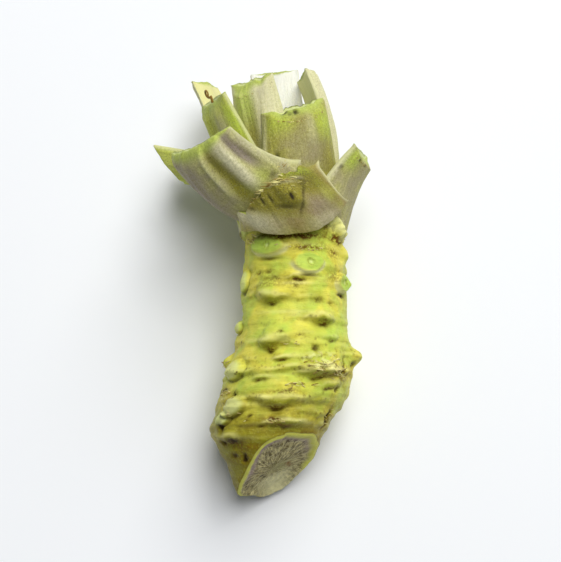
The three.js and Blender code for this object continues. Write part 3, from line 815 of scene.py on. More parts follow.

# %% [markdown]
# ## What each stalk carries
# No two stalks look alike: one has a crease with a smooth mauve facet beside it and ribs whose pale tops
# and darker grooves are partly painted highlight and painted shade, another a green shoulder, and the
# sheath is torn along its top and swells over a bud. Each such place is a soft spot: which mask it paints,
# how far across and how far up it lies, its half sizes, how strong the paint is, how far the place stands
# out in mm, and how it slants.

# %% Soft spots on the stalks
SPOTS = {
    # mask, across, up, half across, half up, strength, lift, slant per mm
    "front_left_stalk": [
        # the pale spots over the raised ribs at 0.19 and 0.56 are partly painted highlight, and the olive,
        # mauve and dark spots in the sunken grooves at 0.33, 0.34, 0.74 and 0.78 are partly painted shade
        ("mauve", -0.38, 14, 0.36, 16, 1.2, 0.0, 0), ("pale", 0.19, 20, 0.05, 9, 0.5, 1.1, 0.002),
        ("olive", 0.34, 20, 0.09, 9, 1.1, -0.7, 0), ("pale", 0.56, 20, 0.10, 9, 1.5, 1.0, 0.004),
        ("mauve", 0.78, 22, 0.08, 8, 1.4, -0.9, 0), ("olive", 0.42, 11, 0.25, 5, 0.9, 0.2, 0),
        ("dark", 0.74, 24, 0.03, 5, 0.5, -0.2, 0.004), ("dark", 0.33, 24, 0.03, 4, 0.35, 0.0, 0.002),
        ("pale", 0.93, 16, 0.06, 12, 0.6, 0.0, 0), ("green", 0.6, 12, 0.2, 3, 0.5, 0.0, 0),
        ("dark", 0.75, 9.0, 0.05, 1.2, 0.6, -0.2, 0), ("pale", -0.8, 17, 0.12, 9, 0.5, 0.0, 0),
    ],
    "upper_left_stalk": [
        ("mauve", 0.42, 26, 0.25, 5.5, 1.0, 0.2, 0), ("olive", -0.1, 24, 0.2, 9, 0.7, -0.3, 0),
        ("green", 0.9, 27, 0.2, 6, 0.9, 0.3, 0), ("olive", 0.8, 17, 0.3, 6, 0.8, 0.0, 0),
    ],
    "inner_left_stalk": [
        ("green", -0.2, 32, 0.35, 7, 1.3, 0.5, 0), ("olive", -0.08, 22, 0.24, 8, 1.2, -0.6, 0),
        ("pale", -0.25, 31, 0.25, 6, 0.35, 0.0, 0),
        ("pale", 0.55, 27, 0.28, 12, 1.0, 0.4, 0), ("mauve", 0.5, 33.4, 0.13, 2.6, 0.9, 0.0, 0),
        ("mauve", 0.3, 24, 0.06, 6, 0.5, -0.3, 0),
    ],
    "centre_stalk": [
        ("green", 0.55, 27, 0.35, 4.5, 0.9, 0.3, 0), ("green", -0.6, 28, 0.3, 3.5, 0.7, 0.0, 0),
        ("pale", -0.93, 22, 0.06, 9, 0.8, 0.3, 0), ("mauve", 0.0, 19, 0.5, 6, 0.6, 0.0, 0),
        ("dark", -0.46, 30.4, 0.09, 0.9, 1.2, -1.0, 0), ("dark", -0.17, 29.8, 0.07, 0.9, 1.2, -0.9, 0),
        ("dark", -0.32, 29.4, 0.05, 0.5, 0.8, -0.4, 0), ("dark", -0.65, 18.2, 0.05, 1.0, 0.9, -0.2, 0),
        ("olive", 0.5, 16, 0.25, 5, 0.6, 0.0, 0), ("pale", 0.1, 25, 0.12, 4, 0.4, 0.4, 0),
    ],
    "right_stalk": [
        ("green", -0.8, 18, 0.25, 3, 1.0, 0.0, 0), ("pale", -0.95, 12, 0.06, 8, 0.8, 0.2, 0),
        ("dark", -0.57, 18.6, 0.05, 0.5, 1.0, -0.2, 0), ("dark", -0.3, 18.2, 0.04, 0.5, 0.9, -0.2, 0),
        ("dark", -0.9, 14.5, 0.05, 0.7, 0.7, 0.0, 0), ("mauve", -0.4, 10, 0.25, 5, 0.6, 0.2, 0),
    ],
    "left_stalk": [
        ("green", 0.4, 24, 0.5, 3, 0.7, 0.0, 0), ("olive", 0.2, 15, 0.6, 7, 0.9, 0.0, 0),
    ],
    "front_sheath": [
        ("olive", -0.30, 10.5, 0.43, 4.6, 1.4, 0.0, 0), ("olive", 0.64, 17, 0.27, 3.0, 1.3, 0.0, 0),
        ("olive", 0.20, 11.9, 0.15, 3.2, 1.2, 2.2, 0), ("dark", 0.20, 11.4, 0.03, 0.8, 1.8, -0.8, 0),
        ("dark", -0.28, 10.7, 0.022, 1.6, 1.2, -0.3, 0), ("dark", -0.12, 11.3, 0.019, 1.5, 1.0, -0.3, 0),
        ("dark", -0.41, 9.6, 0.017, 1.3, 0.8, -0.2, 0), ("dark", -0.56, 7.5, 0.06, 0.8, 0.8, -0.2, 0),
        ("dark", 0.01, 8.6, 0.15, 0.7, 0.7, -0.3, 0), ("pale", 0.20, 15.4, 0.20, 0.5, 0.6, 0.5, 0.01),
        ("pale", 0.47, 16.4, 0.11, 0.5, 0.6, 0.4, 0), ("olive", 0.26, 15.6, 0.40, 4.4, 1.0, 0.3, 0),
        ("olive", 0.62, 14.5, 0.20, 4.0, 0.6, 0.0, 0), ("olive", -0.5, 13.0, 0.25, 2.5, 0.8, 0.0, 0),
        ("green", 0.20, 18.8, 0.36, 2.0, 0.6, 0.3, 0), ("pale", -0.66, 3.2, 0.45, 3.2, 1.2, 0.3, 0),
        ("pale", 0.45, 2.4, 0.30, 2.4, 0.7, 0.3, 0), ("mauve", -0.1, 5.4, 0.5, 1.4, 0.2, 0.0, 0),
        ("mauve", 0.52, 7.5, 0.25, 5.5, 0.8, 0.2, 0), ("dark", 0.33, 10.4, 0.022, 4.6, 0.9, -0.4, 0.042),
        ("pale", 1.05, 12, 0.06, 9, 1.0, 0.2, 0), ("green", 0.80, 12, 0.12, 6, 0.3, 0.0, 0),
        ("dark", 0.62, 16.5, 0.30, 3.5, 0.42, 0.0, 0), ("green", 0.56, 18.6, 0.21, 1.2, 0.8, 0.3, 0),
    ],
}
PAINTS = ("pale", "mauve", "olive", "green", "dark")


def paint_spots(name, across, up):
    paint = {mask: np.zeros_like(across) for mask in PAINTS}
    lift_total = np.zeros_like(across)
    for mask, middle, at, half_across, half_up, strength, lift, slant in SPOTS.get(name, []):
        dx = (across - middle - slant * (up - at)) / half_across
        spot = np.exp(-np.abs(dx) ** 3 - np.abs((up - at) / half_up) ** 3)
        paint[mask] += strength * spot
        lift_total += lift * spot
    return paint, lift_total


print("soft spots:", sum(len(rows) for rows in SPOTS.values()))

# %% [markdown]
# ## A stalk's section and its ribs
# A stalk's grid runs round its section: across the outer side, round one thin margin, back along
# the hollow side and round the other margin. Ribs run along it, because the veins lie there, with
# broad waves and fine wrinkles between them.

# %% Section and ribs
ACROSS = 60
EDGE = 5
CROWDING = 0.35         # how much closer the columns stand near the margins
OUTER = np.arange(ACROSS + 1)
INNER = ACROSS + EDGE + np.arange(ACROSS + 1)[::-1]


def section():
    """Places round the section: how far across, how far inward, and how far a margin bulges."""
    line = np.linspace(-1, 1, ACROSS + 1)
    line = np.sin(line * np.pi / 2) * CROWDING + line * (1 - CROWDING)
    edge = np.arange(1, EDGE) / EDGE
    round_off = np.sin(edge * np.pi)
    side = np.zeros(ACROSS + 1)
    across = np.concatenate([line, np.ones(EDGE - 1), line[::-1], -np.ones(EDGE - 1)])
    inward = np.concatenate([side, edge, side + 1, edge[::-1]])
    bulge = np.concatenate([side, round_off, side, -round_off])
    return across, inward, bulge


def stalk_relief(stalk, across, t, inward, number):
    """Ribs, waves and wrinkles in mm, outwards on the outer side and inwards on the hollow side."""
    x = across * stalk.width(t) / 2
    y = t * stalk.length
    spot = np.stack([x, y, np.full_like(x, 40.0 * number)], axis=-1)
    ribs = 0.16 * cloud(spot, (1.1, 22, 1), 300 + number, 2)
    waves = 0.45 * cloud(spot, (4.5, 14, 1), 330 + number, 2)
    fine = 0.05 * cloud(spot, (0.7, 1.6, 1), 360 + number, 2)
    total = ribs + waves + fine
    return np.where(inward > 0.5, -0.4 * total, total)


print("places round a section:", len(section()[0]))

# %% [markdown]
# ## A stalk's wall
# Rows run up from the foot to the cut, and a few more follow the pared slope over to it. The end
# is a little uneven, and ragged where it was torn rather than cut.

# %% A stalk's wall
ROWS_UP = 84
BEVEL_ROWS = 7
BULGE = 0.45            # how far a margin stands out, in mm
PARED_CALM = 0.7        # how much of the relief a pared cut loses
RAGGED_END = {"centre_stalk": 1.0, "front_sheath": 2.0, "front_left_stalk": 0.7, "inner_left_stalk": 0.9}
PLAIN_END = 0.4


def stalk_rows(stalk, across, inward, number):
    """How far up every place of the wall lies, as a share of the length, and how pared it is."""
    depth_of = np.full_like(across, 7.0 * number)
    brink = np.stack([across * stalk.wide[1] / 2, inward, depth_of], axis=-1)
    torn = 0.5 - 0.5 * cloud(brink, (2.2, 3, 1), 420 + number, 3)
    end = stalk.ends(np.clip(across, -1, 1), inward)
    end = end - RAGGED_END.get(stalk.name, PLAIN_END) * np.clip(torn, 0, 1.2) / stalk.length
    slope = stalk.slope(across)
    rows = np.linspace(0, 1, ROWS_UP + 1)[:, None]
    t = mix(stalk.start(across)[None, :], (end - slope)[None, :], rows)
    pared = np.zeros_like(t)
    if stalk.bevel > 0:
        steps = np.linspace(0, 1, BEVEL_ROWS + 1)[1:, None]
        over = (end - slope)[None, :] + slope[None, :] * np.sin(steps * np.pi / 2) ** 1.3
        t = np.concatenate([t, over])
        pared = np.concatenate([pared, np.broadcast_to(steps**1.3, (BEVEL_ROWS, across.size))])
    return t, pared


def stalk_wall(stalk, across, inward, t, pared, number):
    """The wall's places, with ribs and soft spots, and what the spots paint."""
    paint, lifted = paint_spots(stalk.name, across, t * stalk.length)
    raised = stalk_relief(stalk, across, t, inward, number) * (1 - PARED_CALM * pared)
    raised = raised + np.where(inward < 0.5, lifted, 0)
    raised = raised * (1 - np.sin(inward * np.pi) ** 2)
    return stalk.point(across, t, inward, pared, raised), paint


print("rows up a stalk:", ROWS_UP, "and over its pared end:", BEVEL_ROWS)

# %% [markdown]
# ## A stalk's cut end
# A last small grid closes the cut. It is dished a little, because the soft flesh shrinks back as
# it dries, and the faces of the foot and of its two margins close the stalk below.

# %% A stalk's cut end
DISH = 0.35
CAP_ROUGHNESS = 0.12


def end_cap(stalk, top, across, number):
    """Places inside the cut's outline, and the same in the flat for the flesh's grain."""
    outer_edge, inner_edge = top[OUTER][1:-1], top[INNER][1:-1]
    share = (np.arange(1, EDGE) / EDGE)[:, None]
    thick = np.linalg.norm(inner_edge - outer_edge, axis=-1)
    cap = outer_edge + (inner_edge - outer_edge) * share[..., None]
    depth = share * thick
    x = np.broadcast_to(across[OUTER][1:-1] * stalk.width(1.0) / 2, depth.shape)
    spot = np.stack([x, depth, np.full_like(depth, 9.0 * number)], axis=-1)
    dish = DISH * np.sin(share * np.pi) * np.minimum(1, thick)
    rough = CAP_ROUGHNESS * cloud(spot, (1.2, 0.8, 1), 390 + number, 2)
    return cap + stalk.facing * (rough - dish)[..., None], spot


def stalk_faces(wall_shape):
    """The wall's faces, then the cut's, the foot's and those of the foot's two margins."""
    index = np.arange(wall_shape[0] * wall_shape[1]).reshape(wall_shape)
    foot, last = index[0], index[-1]
    sheet = np.empty((EDGE + 1, ACROSS + 1), int)
    sheet[0], sheet[-1] = last[OUTER], last[INNER]
    sheet[1:-1, 1:-1] = index.size + np.arange((EDGE - 1) * (ACROSS - 1)).reshape(EDGE - 1, -1)
    sheet[1:-1, -1] = last[ACROSS + 1:ACROSS + EDGE]
    sheet[1:-1, 0] = last[2 * ACROSS + EDGE + 1:][::-1]
    foot_sheet = np.stack([foot[OUTER], foot[INNER]])
    faces = [grid_faces(index, True), grid_faces(sheet), grid_faces(foot_sheet)[:, ::-1]]
    right_margin = foot[ACROSS:ACROSS + EDGE + 1][::-1]
    left_margin = np.append(foot[2 * ACROSS + EDGE:], foot[0])[::-1]
    return np.concatenate(faces).tolist() + [right_margin.tolist(), left_margin.tolist()]


print("faces that close a cut:", EDGE * ACROSS)

# %% [markdown]
# ## Building the stalks
# Wall and cut become one mesh. Its masks say where the flesh is cut, where the hollow side is, how
# far across each place lies, and what the soft spots paint on the outer side.

# %% Building the stalks
def build_stalk(stalk, number):
    across, inward, bulge = section()
    t, pared = stalk_rows(stalk, across, inward, number)
    across_grid = np.broadcast_to(across, t.shape) + bulge * BULGE / (stalk.width(t) / 2)
    inward_grid = np.broadcast_to(inward, t.shape)
    wall, paint = stalk_wall(stalk, across_grid, inward_grid, t, pared, number)
    cap, cap_grain = end_cap(stalk, wall[-1], across, number)
    across_mm = across_grid * stalk.width(t) / 2
    wall_grain = np.stack([across_mm, t * stalk.length, inward_grid * 4 + 30.0 * number], axis=-1)
    blank = np.zeros(cap[..., 0].size)
    cap_across = np.broadcast_to(across[OUTER][1:-1], cap.shape[:2])
    masks = {
        "cut": np.concatenate([ramp(pared, 0.02, 0.5).ravel(), blank + 1]),
        "cap": np.concatenate([np.zeros(t.size), blank + 1]),
        "hollow": np.concatenate([(inward_grid > 0.5).ravel(), blank]),
        "across": np.concatenate([across_grid.ravel(), cap_across.ravel()]),
    }
    for name, values in paint.items():
        masks[name] = np.concatenate([np.where(inward_grid < 0.7, values, 0).ravel(), blank])
    points, grain = joined(wall, cap), joined(wall_grain, cap_grain)
    return make_piece(stalk.name + "_skin", points, stalk_faces(t.shape), masks, grain)


stalk_pieces = {stalk.name: build_stalk(stalk, number) for number, stalk in enumerate(stalks)}

# %% [markdown]
# ## Where fibres stand up
# Where roots and old leaves tore away, short fibres stand up and curl. They are scattered at random
# inside a few torn places, on the rhizome's skin and on the ends of some stalks.

# %% Torn places
TORN_PLACES = [
    # turn, at, half across mm, half up mm, how many, length mm
    (30, 33.4, 6.0, 2.0, 38, 2.8), (46, 31.6, 2.6, 1.6, 26, 3.0), (8, 28.2, 4.0, 0.8, 14, 3.0),
    (-36, 21.0, 1.4, 0.8, 8, 1.4), (-66, 26.4, 3.0, 0.6, 12, 2.6), (60, 68.6, 3.4, 1.6, 24, 1.6),
    (-60, 67.2, 5.0, 1.0, 20, 1.6), (12, 64.6, 5.0, 0.8, 14, 1.2), (-5, 39.0, 3.0, 0.8, 8, 1.4),
    (64, 20.4, 1.0, 2.0, 12, 1.8), (-80, 34.4, 2.0, 1.0, 10, 1.8), (5, 19.0, 4.0, 0.5, 8, 2.0),
]
TORN_STALKS = [
    # stalk, across, up, half across, half up, how many, length mm
    ("front_sheath", 0.16, 15.4, 0.34, 1.0, 34, 2.4), ("front_sheath", 0.1, 19.0, 0.5, 1.5, 26, 1.5),
    ("front_sheath", -0.3, 13.0, 0.3, 1.6, 16, 1.4), ("centre_stalk", -0.3, 30.0, 0.3, 0.8, 14, 1.2),
    ("centre_stalk", 0.4, 30.0, 0.4, 0.8, 10, 0.9), ("right_stalk", -0.5, 18.4, 0.4, 0.6, 9, 0.9),
    ("inner_left_stalk", -0.2, 36.0, 0.5, 0.8, 10, 0.9), ("front_left_stalk", 0.9, 8.0, 0.08, 2.5, 10, 1.3),
]
print("fibres on the skin:", sum(row[4] for row in TORN_PLACES))
print("fibres on the stalks:", sum(row[5] for row in TORN_STALKS))

# %% [markdown]
# ## How a fibre grows
# Each fibre is a thin tapered strand of a few rings that leaves the skin, bends over and ends in a
# point. Many strands grow at once, because whole arrays are much quicker than one by one.

# %% Growing strands
STRAND_RINGS = 7
STRAND_SIDES = 5
STRAND_RADIUS = (0.17, 0.05)    # at the root and at the tip, in mm
STRAND_FLATNESS = 0.6
ROOT_DEPTH = 0.15
PROBE_ACROSS, PROBE_UP = 0.02, 0.4
dice = np.random.default_rng(12)


def grow_strands(here, aside, above, out, lengths):
    """One strand from each place, as rings of points from its root to its tip."""
    count = len(here)
    heading = dice.uniform(-0.5, 0.5, count) + np.pi * dice.integers(2, size=count)
    forward = aside * np.cos(heading)[:, None] + above * np.sin(heading)[:, None]
    angle, curl = dice.uniform(0.4, 1.0, count), dice.uniform(0.4, 2.4, count)
    thick = dice.uniform(0.7, 1.5, count)
    spin = (np.arange(STRAND_SIDES) / STRAND_SIDES * 2 * np.pi)[None, :, None]
    around = np.cross(forward, out)[:, None] * np.cos(spin)
    around = around + STRAND_FLATNESS * out[:, None] * np.sin(spin)
    spot, rings = here - ROOT_DEPTH * out, []
    for ring in range(STRAND_RINGS):
        wide = mix(*STRAND_RADIUS, ring / (STRAND_RINGS - 1)) * thick
        rings.append(spot[:, None] + around * wide[:, None, None])
        step = forward * np.cos(angle)[:, None] + out * np.sin(angle)[:, None]
        spot = spot + step * lengths[:, None] / STRAND_RINGS
        angle = angle - curl / STRAND_RINGS
    return np.stack(rings, axis=1)


def frame_of(point, first, second, inside):
    """A place on a surface, two directions along it and the one straight out of it."""
    here = point(first, second)
    aside = unit(point(first + PROBE_ACROSS, second) - here)
    above = unit(point(first, second + PROBE_UP) - here)
    out = unit(np.cross(above, aside))
    out = out * np.sign(np.sum(out * (here - inside), axis=-1))[:, None]
    return here, aside, above, out


def stalk_skin(stalk, number, across, up):
    """Places on a stalk's outer side, with its ribs and soft spots."""
    t = up / stalk.length
    outside = np.zeros_like(t)
    raised = stalk_relief(stalk, across, t, outside, number) + paint_spots(stalk.name, across, up)[1]
    return stalk.point(across, t, outside, 0.0, raised)


print("points of a strand:", STRAND_RINGS * STRAND_SIDES)


# %% [markdown]
# ## The torn fibres in one mesh
# All strands are grown place by place and become one piece, each strand in its own shade.

# %% The torn fibres
FROM_BRINK = 0.9        # how far below the cut a stalk's fibres keep, in mm
batches = []
for turn, at, wide, high, count, length in TORN_PLACES:
    sides = math.radians(turn) + dice.normal(0, 0.5, count) * wide / NECK_RADIUS
    heights = at + dice.normal(0, 0.5, count) * high
    axes = frame_of(skin_point, sides, heights, stem_centre(heights))
    batches.append(grow_strands(*axes, length * dice.uniform(0.5, 1.2, count)))
for name, middle, at, wide, high, count, length in TORN_STALKS:
    number = [stalk.name for stalk in stalks].index(name)
    stalk = stalks[number]
    across = middle + dice.normal(0, 0.5, count) * wide
    brink = (stalk.ends(across, np.zeros(count)) - stalk.slope(across)) * stalk.length
    up = np.minimum(at + dice.normal(0, 0.5, count) * high, brink - FROM_BRINK)
    inside = stalk.back(up / stalk.length) - stalk.outward * stalk.around[0]
    axes = frame_of(functools.partial(stalk_skin, stalk, number), across, up, inside)
    batches.append(grow_strands(*axes, length * dice.uniform(0.5, 1.2, count)))
strands = np.concatenate(batches)
table_of = np.arange(strands[..., 0].size).reshape(strands.shape[:3])
strand_faces = np.concatenate([grid_faces(rings[:, ::-1], True) for rings in table_of])
caps = np.concatenate([table_of[:, 0], table_of[:, -1, ::-1]])
fibre_points = strands.reshape(-1, 3)
fibre_faces = strand_faces.tolist() + caps.tolist()
shade = np.repeat(dice.uniform(0, 1, len(strands)), STRAND_RINGS * STRAND_SIDES)
fibre_piece = make_piece("torn_fibres", fibre_points, fibre_faces, {"brown": shade}, fibre_points)

# %% [markdown]
# ## A dry curl
# A shred of a dead leaf base hangs on as a stiff brown loop at the end of the upper left stalk. It
# is a tube along a short straight foot and an open circle, and it thins towards its end.

# %% A dry curl
CURL_RINGS = 36
CURL_FOOT_RINGS = 6
CURL_SIDES = 8
CURL_RADIUS = 1.1
CURL_WINDING = 0.15             # how much of its radius the circle loses on the way round
CURL_LIFT = 0.9                 # how far the circle winds out of its own plane
CURL_THICK = (0.38, 0.2)        # the tube's radius at the foot and at the end
CURL_ROOT = 0.8                 # how deep the foot is rooted in the stalk
CURL_REACH = 2.6                # from the root to the circle's middle
CURL_START = -0.5               # where on the circle the foot arrives, in radians
CURL_BROWN = 1.3                # its mask, past 1 so that it is as brown as the fibres get


def build_curl(stalk, across, turns):
    end = stalk.ends(np.array([across]), np.zeros(1))
    way, out, aside = (axis[0] for axis in stalk.axes(np.minimum(end, 1)))
    foot = stalk.point(np.array([across]), end, np.zeros(1))[0] - way * CURL_ROOT
    share = np.linspace(0, 1, CURL_RINGS - CURL_FOOT_RINGS)[:, None]
    angle = CURL_START + turns * 2 * np.pi * share
    radius = CURL_RADIUS * (1 - CURL_WINDING * share)
    middle = foot + way * CURL_REACH
    loop = middle - way * np.cos(angle) * radius - aside * np.sin(angle) * radius
    loop = loop + out * CURL_LIFT * share
    stem = foot + (loop[0] - foot) * (np.arange(CURL_FOOT_RINGS) / CURL_FOOT_RINGS)[:, None]
    line = np.concatenate([stem, loop])
    forward = unit(np.gradient(line, axis=0))
    radial = unit(np.cross(out, forward))
    spin = (np.arange(CURL_SIDES) / CURL_SIDES * 2 * np.pi)[None, :, None]
    thick = np.linspace(*CURL_THICK, CURL_RINGS)[:, None, None]
    points = line[:, None] + (radial[:, None] * np.cos(spin) + out * np.sin(spin)) * thick
    index = np.arange(CURL_RINGS * CURL_SIDES).reshape(CURL_RINGS, CURL_SIDES)
    faces = grid_faces(index, True).tolist() + [index[0, ::-1].tolist(), index[-1].tolist()]
    points = points.reshape(-1, 3)
    return make_piece("dry_curl", points, faces, {"brown": np.full(len(points), CURL_BROWN)}, points)


upper_left = next(stalk for stalk in stalks if stalk.name == "upper_left_stalk")
curl_piece = build_curl(upper_left, across=0.5, turns=1.05)

# %% [markdown]
# ## Materials
# All the plant's tissues are wet, slightly see-through and never one flat colour. Small helpers
# wire the nodes: one feeds a socket with a value or a link, one adds a node and feeds its inputs,
# one blends two colours by a mask. Colours are written as six hexadecimal digits.

# %% Node helpers
MIX_SHARE, MIX_FIRST, MIX_SECOND = 0, 6, 7      # a Mix node's inputs for colours, by their places
MIX_RESULT = 2


def colour(code):
    """A colour written as six hexadecimal digits, as the linear values that a socket wants."""
    parts = [int(code[i:i + 2], 16) / 255 for i in (0, 2, 4)]
    return [p / 12.92 if p <= 0.04045 else ((p + 0.055) / 1.055) ** 2.4 for p in parts] + [1.0]


def feed(tree, socket, value):
    """Links the value where it is another node's output, and otherwise sets it."""
    if isinstance(value, bpy.types.NodeSocket):
        tree.links.new(value, socket)
    else:
        socket.default_value = colour(value) if isinstance(value, str) else value


def add(tree, kind, sockets=None, **settings):
    """Adds a node, sets its settings and feeds its inputs."""
    node = tree.nodes.new(kind)
    for name, value in settings.items():
        setattr(node, name, value)
    for name, value in (sockets or {}).items():
        feed(tree, node.inputs[name], value)
    return node


def blend(tree, share, first, second):
    """first where share is 0, second where it is 1."""
    node = add(tree, "ShaderNodeMix", {
        MIX_SHARE: share, MIX_FIRST: first, MIX_SECOND: second,
    }, data_type="RGBA")
    return node.outputs[MIX_RESULT]


def maths(tree, kind, *values, clamp=False):
    node = add(tree, "ShaderNodeMath", dict(enumerate(values)), operation=kind, use_clamp=clamp)
    return node.outputs[0]


def between(tree, value, low, high):
    """A smooth step from 0 at low to 1 at high."""
    node = add(tree, "ShaderNodeMapRange", {
        "Value": value, "From Min": low, "From Max": high,
    }, interpolation_type="SMOOTHSTEP")
    return node.outputs[0]


def mask(tree, name):
    return add(tree, "ShaderNodeAttribute", attribute_name=name).outputs["Fac"]


def grain_of(tree):
    return add(tree, "ShaderNodeAttribute", attribute_name="grain").outputs["Vector"]


print("half grey as linear values:", [round(value, 3) for value in colour("808080")])


# %% [markdown]
# ## Effects that several tissues share
# Three effects come back in each tissue, so each is a node group: streaks that run along the
# fibres, fine cell-like speckles, and broad soft blotches. Each gives a value from 0 to 1.

# %% Shared effects
def new_group(name, inputs):
    group = bpy.data.node_groups.new(name, "ShaderNodeTree")
    for socket, kind, start in inputs:
        made = group.interface.new_socket(socket, in_out="INPUT", socket_type=kind)
        if start is not None:
            made.default_value = start
    group.interface.new_socket("Value", in_out="OUTPUT", socket_type="NodeSocketFloat")
    return group, group.nodes.new("NodeGroupInput"), group.nodes.new("NodeGroupOutput")


def noise(tree, place, scale, detail, roughness=0.6, distortion=0.0):
    node = add(tree, "ShaderNodeTexNoise", {
        "Vector": place, "Scale": scale, "Detail": detail,
        "Roughness": roughness, "Distortion": distortion,
    })
    return node.outputs[0]


SOCKETS = (("Place", "NodeSocketVector", None), ("Scale", "NodeSocketFloat", 1.0))
STRETCH = ("Stretch", "NodeSocketVector", None)

streaks, inside, outside = new_group("Streaks along the fibres", SOCKETS + (STRETCH,))
long_way = add(streaks, "ShaderNodeVectorMath", {
    0: inside.outputs["Place"], 1: inside.outputs["Stretch"],
}, operation="MULTIPLY")
value = noise(streaks, long_way.outputs[0], inside.outputs["Scale"], 4, 0.65, 0.4)
streaks.links.new(between(streaks, value, 0.3, 0.7), outside.inputs[0])

speckles, inside, outside = new_group("Fine speckles", SOCKETS)
cells = add(speckles, "ShaderNodeTexVoronoi", {
    "Vector": inside.outputs["Place"], "Scale": inside.outputs["Scale"],
})
round_cells = between(speckles, cells.outputs["Distance"], 0.55, 0.1)
grit = noise(speckles, inside.outputs["Place"], inside.outputs["Scale"], 3, 0.7)
value = maths(speckles, "MULTIPLY", round_cells, between(speckles, grit, 0.4, 0.65))
speckles.links.new(value, outside.inputs[0])

blotches, inside, outside = new_group("Soft blotches", SOCKETS)
value = noise(blotches, inside.outputs["Place"], inside.outputs["Scale"], 2, 0.5, 0.6)
blotches.links.new(between(blotches, value, 0.38, 0.64), outside.inputs[0])
print("shared effects:", [group.name for group in (streaks, speckles, blotches)])

# %% [markdown]
# ## Starting a material
# Each tissue starts from the same wet, slightly see-through flesh. Further helpers place a shared
# effect, lay colours over each other in turn, and turn a value into a fine bump.

# %% Material helpers
ALONG = (1.0, 0.09, 1.0)
ROUND = (0.35, 1.7, 0.35)
SEE_THROUGH = 0.05
SEE_THROUGH_COLOURS = (1.0, 0.8, 0.25)
SEE_THROUGH_DEPTH = 0.0015
FLESH_IOR = 1.4


def effect(tree, group, place, scale, stretch=None):
    sockets = {"Place": place, "Scale": scale}
    if stretch:
        sockets["Stretch"] = stretch
    return add(tree, "ShaderNodeGroup", sockets, node_tree=group).outputs[0]


def new_material(name, roughness, shine=0.5):
    material = bpy.data.materials.new(name)
    material.use_nodes = True
    tree = material.node_tree
    shader = tree.nodes["Principled BSDF"]
    shader.inputs["Subsurface Weight"].default_value = SEE_THROUGH
    shader.inputs["Subsurface Radius"].default_value = SEE_THROUGH_COLOURS
    shader.inputs["Subsurface Scale"].default_value = SEE_THROUGH_DEPTH
    shader.inputs["IOR"].default_value = FLESH_IOR
    shader.inputs["Roughness"].default_value = roughness
    shader.inputs["Specular IOR Level"].default_value = shine
    return material, tree, shader


def bump(tree, shader, height, distance):
    node = add(tree, "ShaderNodeBump", {"Height": height, "Strength": 1.0, "Distance": distance})
    tree.links.new(node.outputs[0], shader.inputs["Normal"])


def scaled(tree, value, share):
    return maths(tree, "MULTIPLY", value, share)


def both(tree, first, second):
    """The product of two masks, kept between 0 and 1."""
    return maths(tree, "MULTIPLY", first, second, clamp=True)


def layered(tree, tint, rows):
    """Lays colours over the tint in turn: where, a value or a mask's name; how much; which."""
    for where, share, code in rows:
        value = mask(tree, where) if isinstance(where, str) else where
        tint = blend(tree, both(tree, value, share), tint, code)
    return tint


print("fine streaks run along:", ALONG, "and round:", ROUND)

# %% [markdown]
# ## The rhizome's skin
# Lime green over olive, a painted highlight in pale cream along the crests, brown where it is torn or
# creased, painted shade of olive, brown and near black under the lips, scars and buds, in the pits and
# along the sheath's foot, and darker and browner towards the tip. Each colour lies over the one before, as
# the marks do on the plant.

# %% The rhizome's skin
SKIN_BUMP = 0.00015


def skin_tint(tree, grain, patches, specks, wrinkles):
    creases = effect(tree, streaks, grain, 1.1, ROUND)
    # darker patches and creases towards the tip
    darker_towards_tip = both(tree, maths(tree, "ADD", patches, creases), mask(tree, "tip"))
    ragged = between(tree, noise(tree, grain, 1.2, 4, 0.7), 0.36, 0.58)
    # the brown mask holds real brown stains and also painted shade under the lips and along the sheath's
    # foot
    stain_and_shade = scaled(tree, mask(tree, "brown"), ragged)
    dots = both(tree, effect(tree, speckles, grain, 0.75), mask(tree, "band"))
    # the pale crest colour F8F29A is a painted highlight, and the near black 3A2A06 is painted shade in
    # most places it goes
    return layered(tree, "EFE65C", [
        (effect(tree, blotches, grain, 0.13), 1, "C8DA56"), (patches, 0.35, "C2BC40"),
        (wrinkles, 0.2, "A89A2E"), ("tip", 0.85, "8E8008"), (darker_towards_tip, 0.5, "5C4A0E"),
        ("band", 0.45, "BAA62C"), ("olive", 0.75, "8D8E14"), ("crest_and_highlight", 0.65, "F8F29A"),
        (specks, 0.2, "F2EE86"), ("green", 0.7, "B4D658"), ("cream", 0.75, "FAF8B8"),
        (stain_and_shade, 0.9, "704E10"), ("pale", 0.65, "DFE294"), (dots, 1, "5A400A"),
        ("dark", 0.9, "3A2A06"),
    ])


print("bump of the skin in mm:", SKIN_BUMP / MM)

# %% [markdown]
# ## The cut flesh
# The face that the knife left is greyish, with pale fibres that run from the rim to the middle
# among darker ones, a bright rim, and the spots that were painted on it.

# %% The rhizome's material
def flesh_tint(tree, grain, patches):
    cells = effect(tree, streaks, grain, 1.5, (1.0, 0.3, 1.0))
    curls = between(tree, noise(tree, grain, 0.9, 5, 0.8, 1.5), 0.38, 0.62)
    texture = maths(tree, "ADD", scaled(tree, cells, 0.65), scaled(tree, curls, 0.35))
    fray = effect(tree, streaks, grain, 3.2, ALONG)
    return layered(tree, "564818", [
        (between(tree, texture, 0.1, 0.9), 1, "E8DC9C"), (fray, 0.5, "4A3C18"),
        ("mauve", 0.75, "A08886"), ("green", 0.5, "9C9C5A"), ("cream", 0.85, "E6E0A8"),
        (patches, 0.2, "5A4A28"), ("dark", 0.9, "30270A"), ("brown", 0.8, "7A4E1C"),
        ("rim", 0.9, "D2D25A"),
    ])


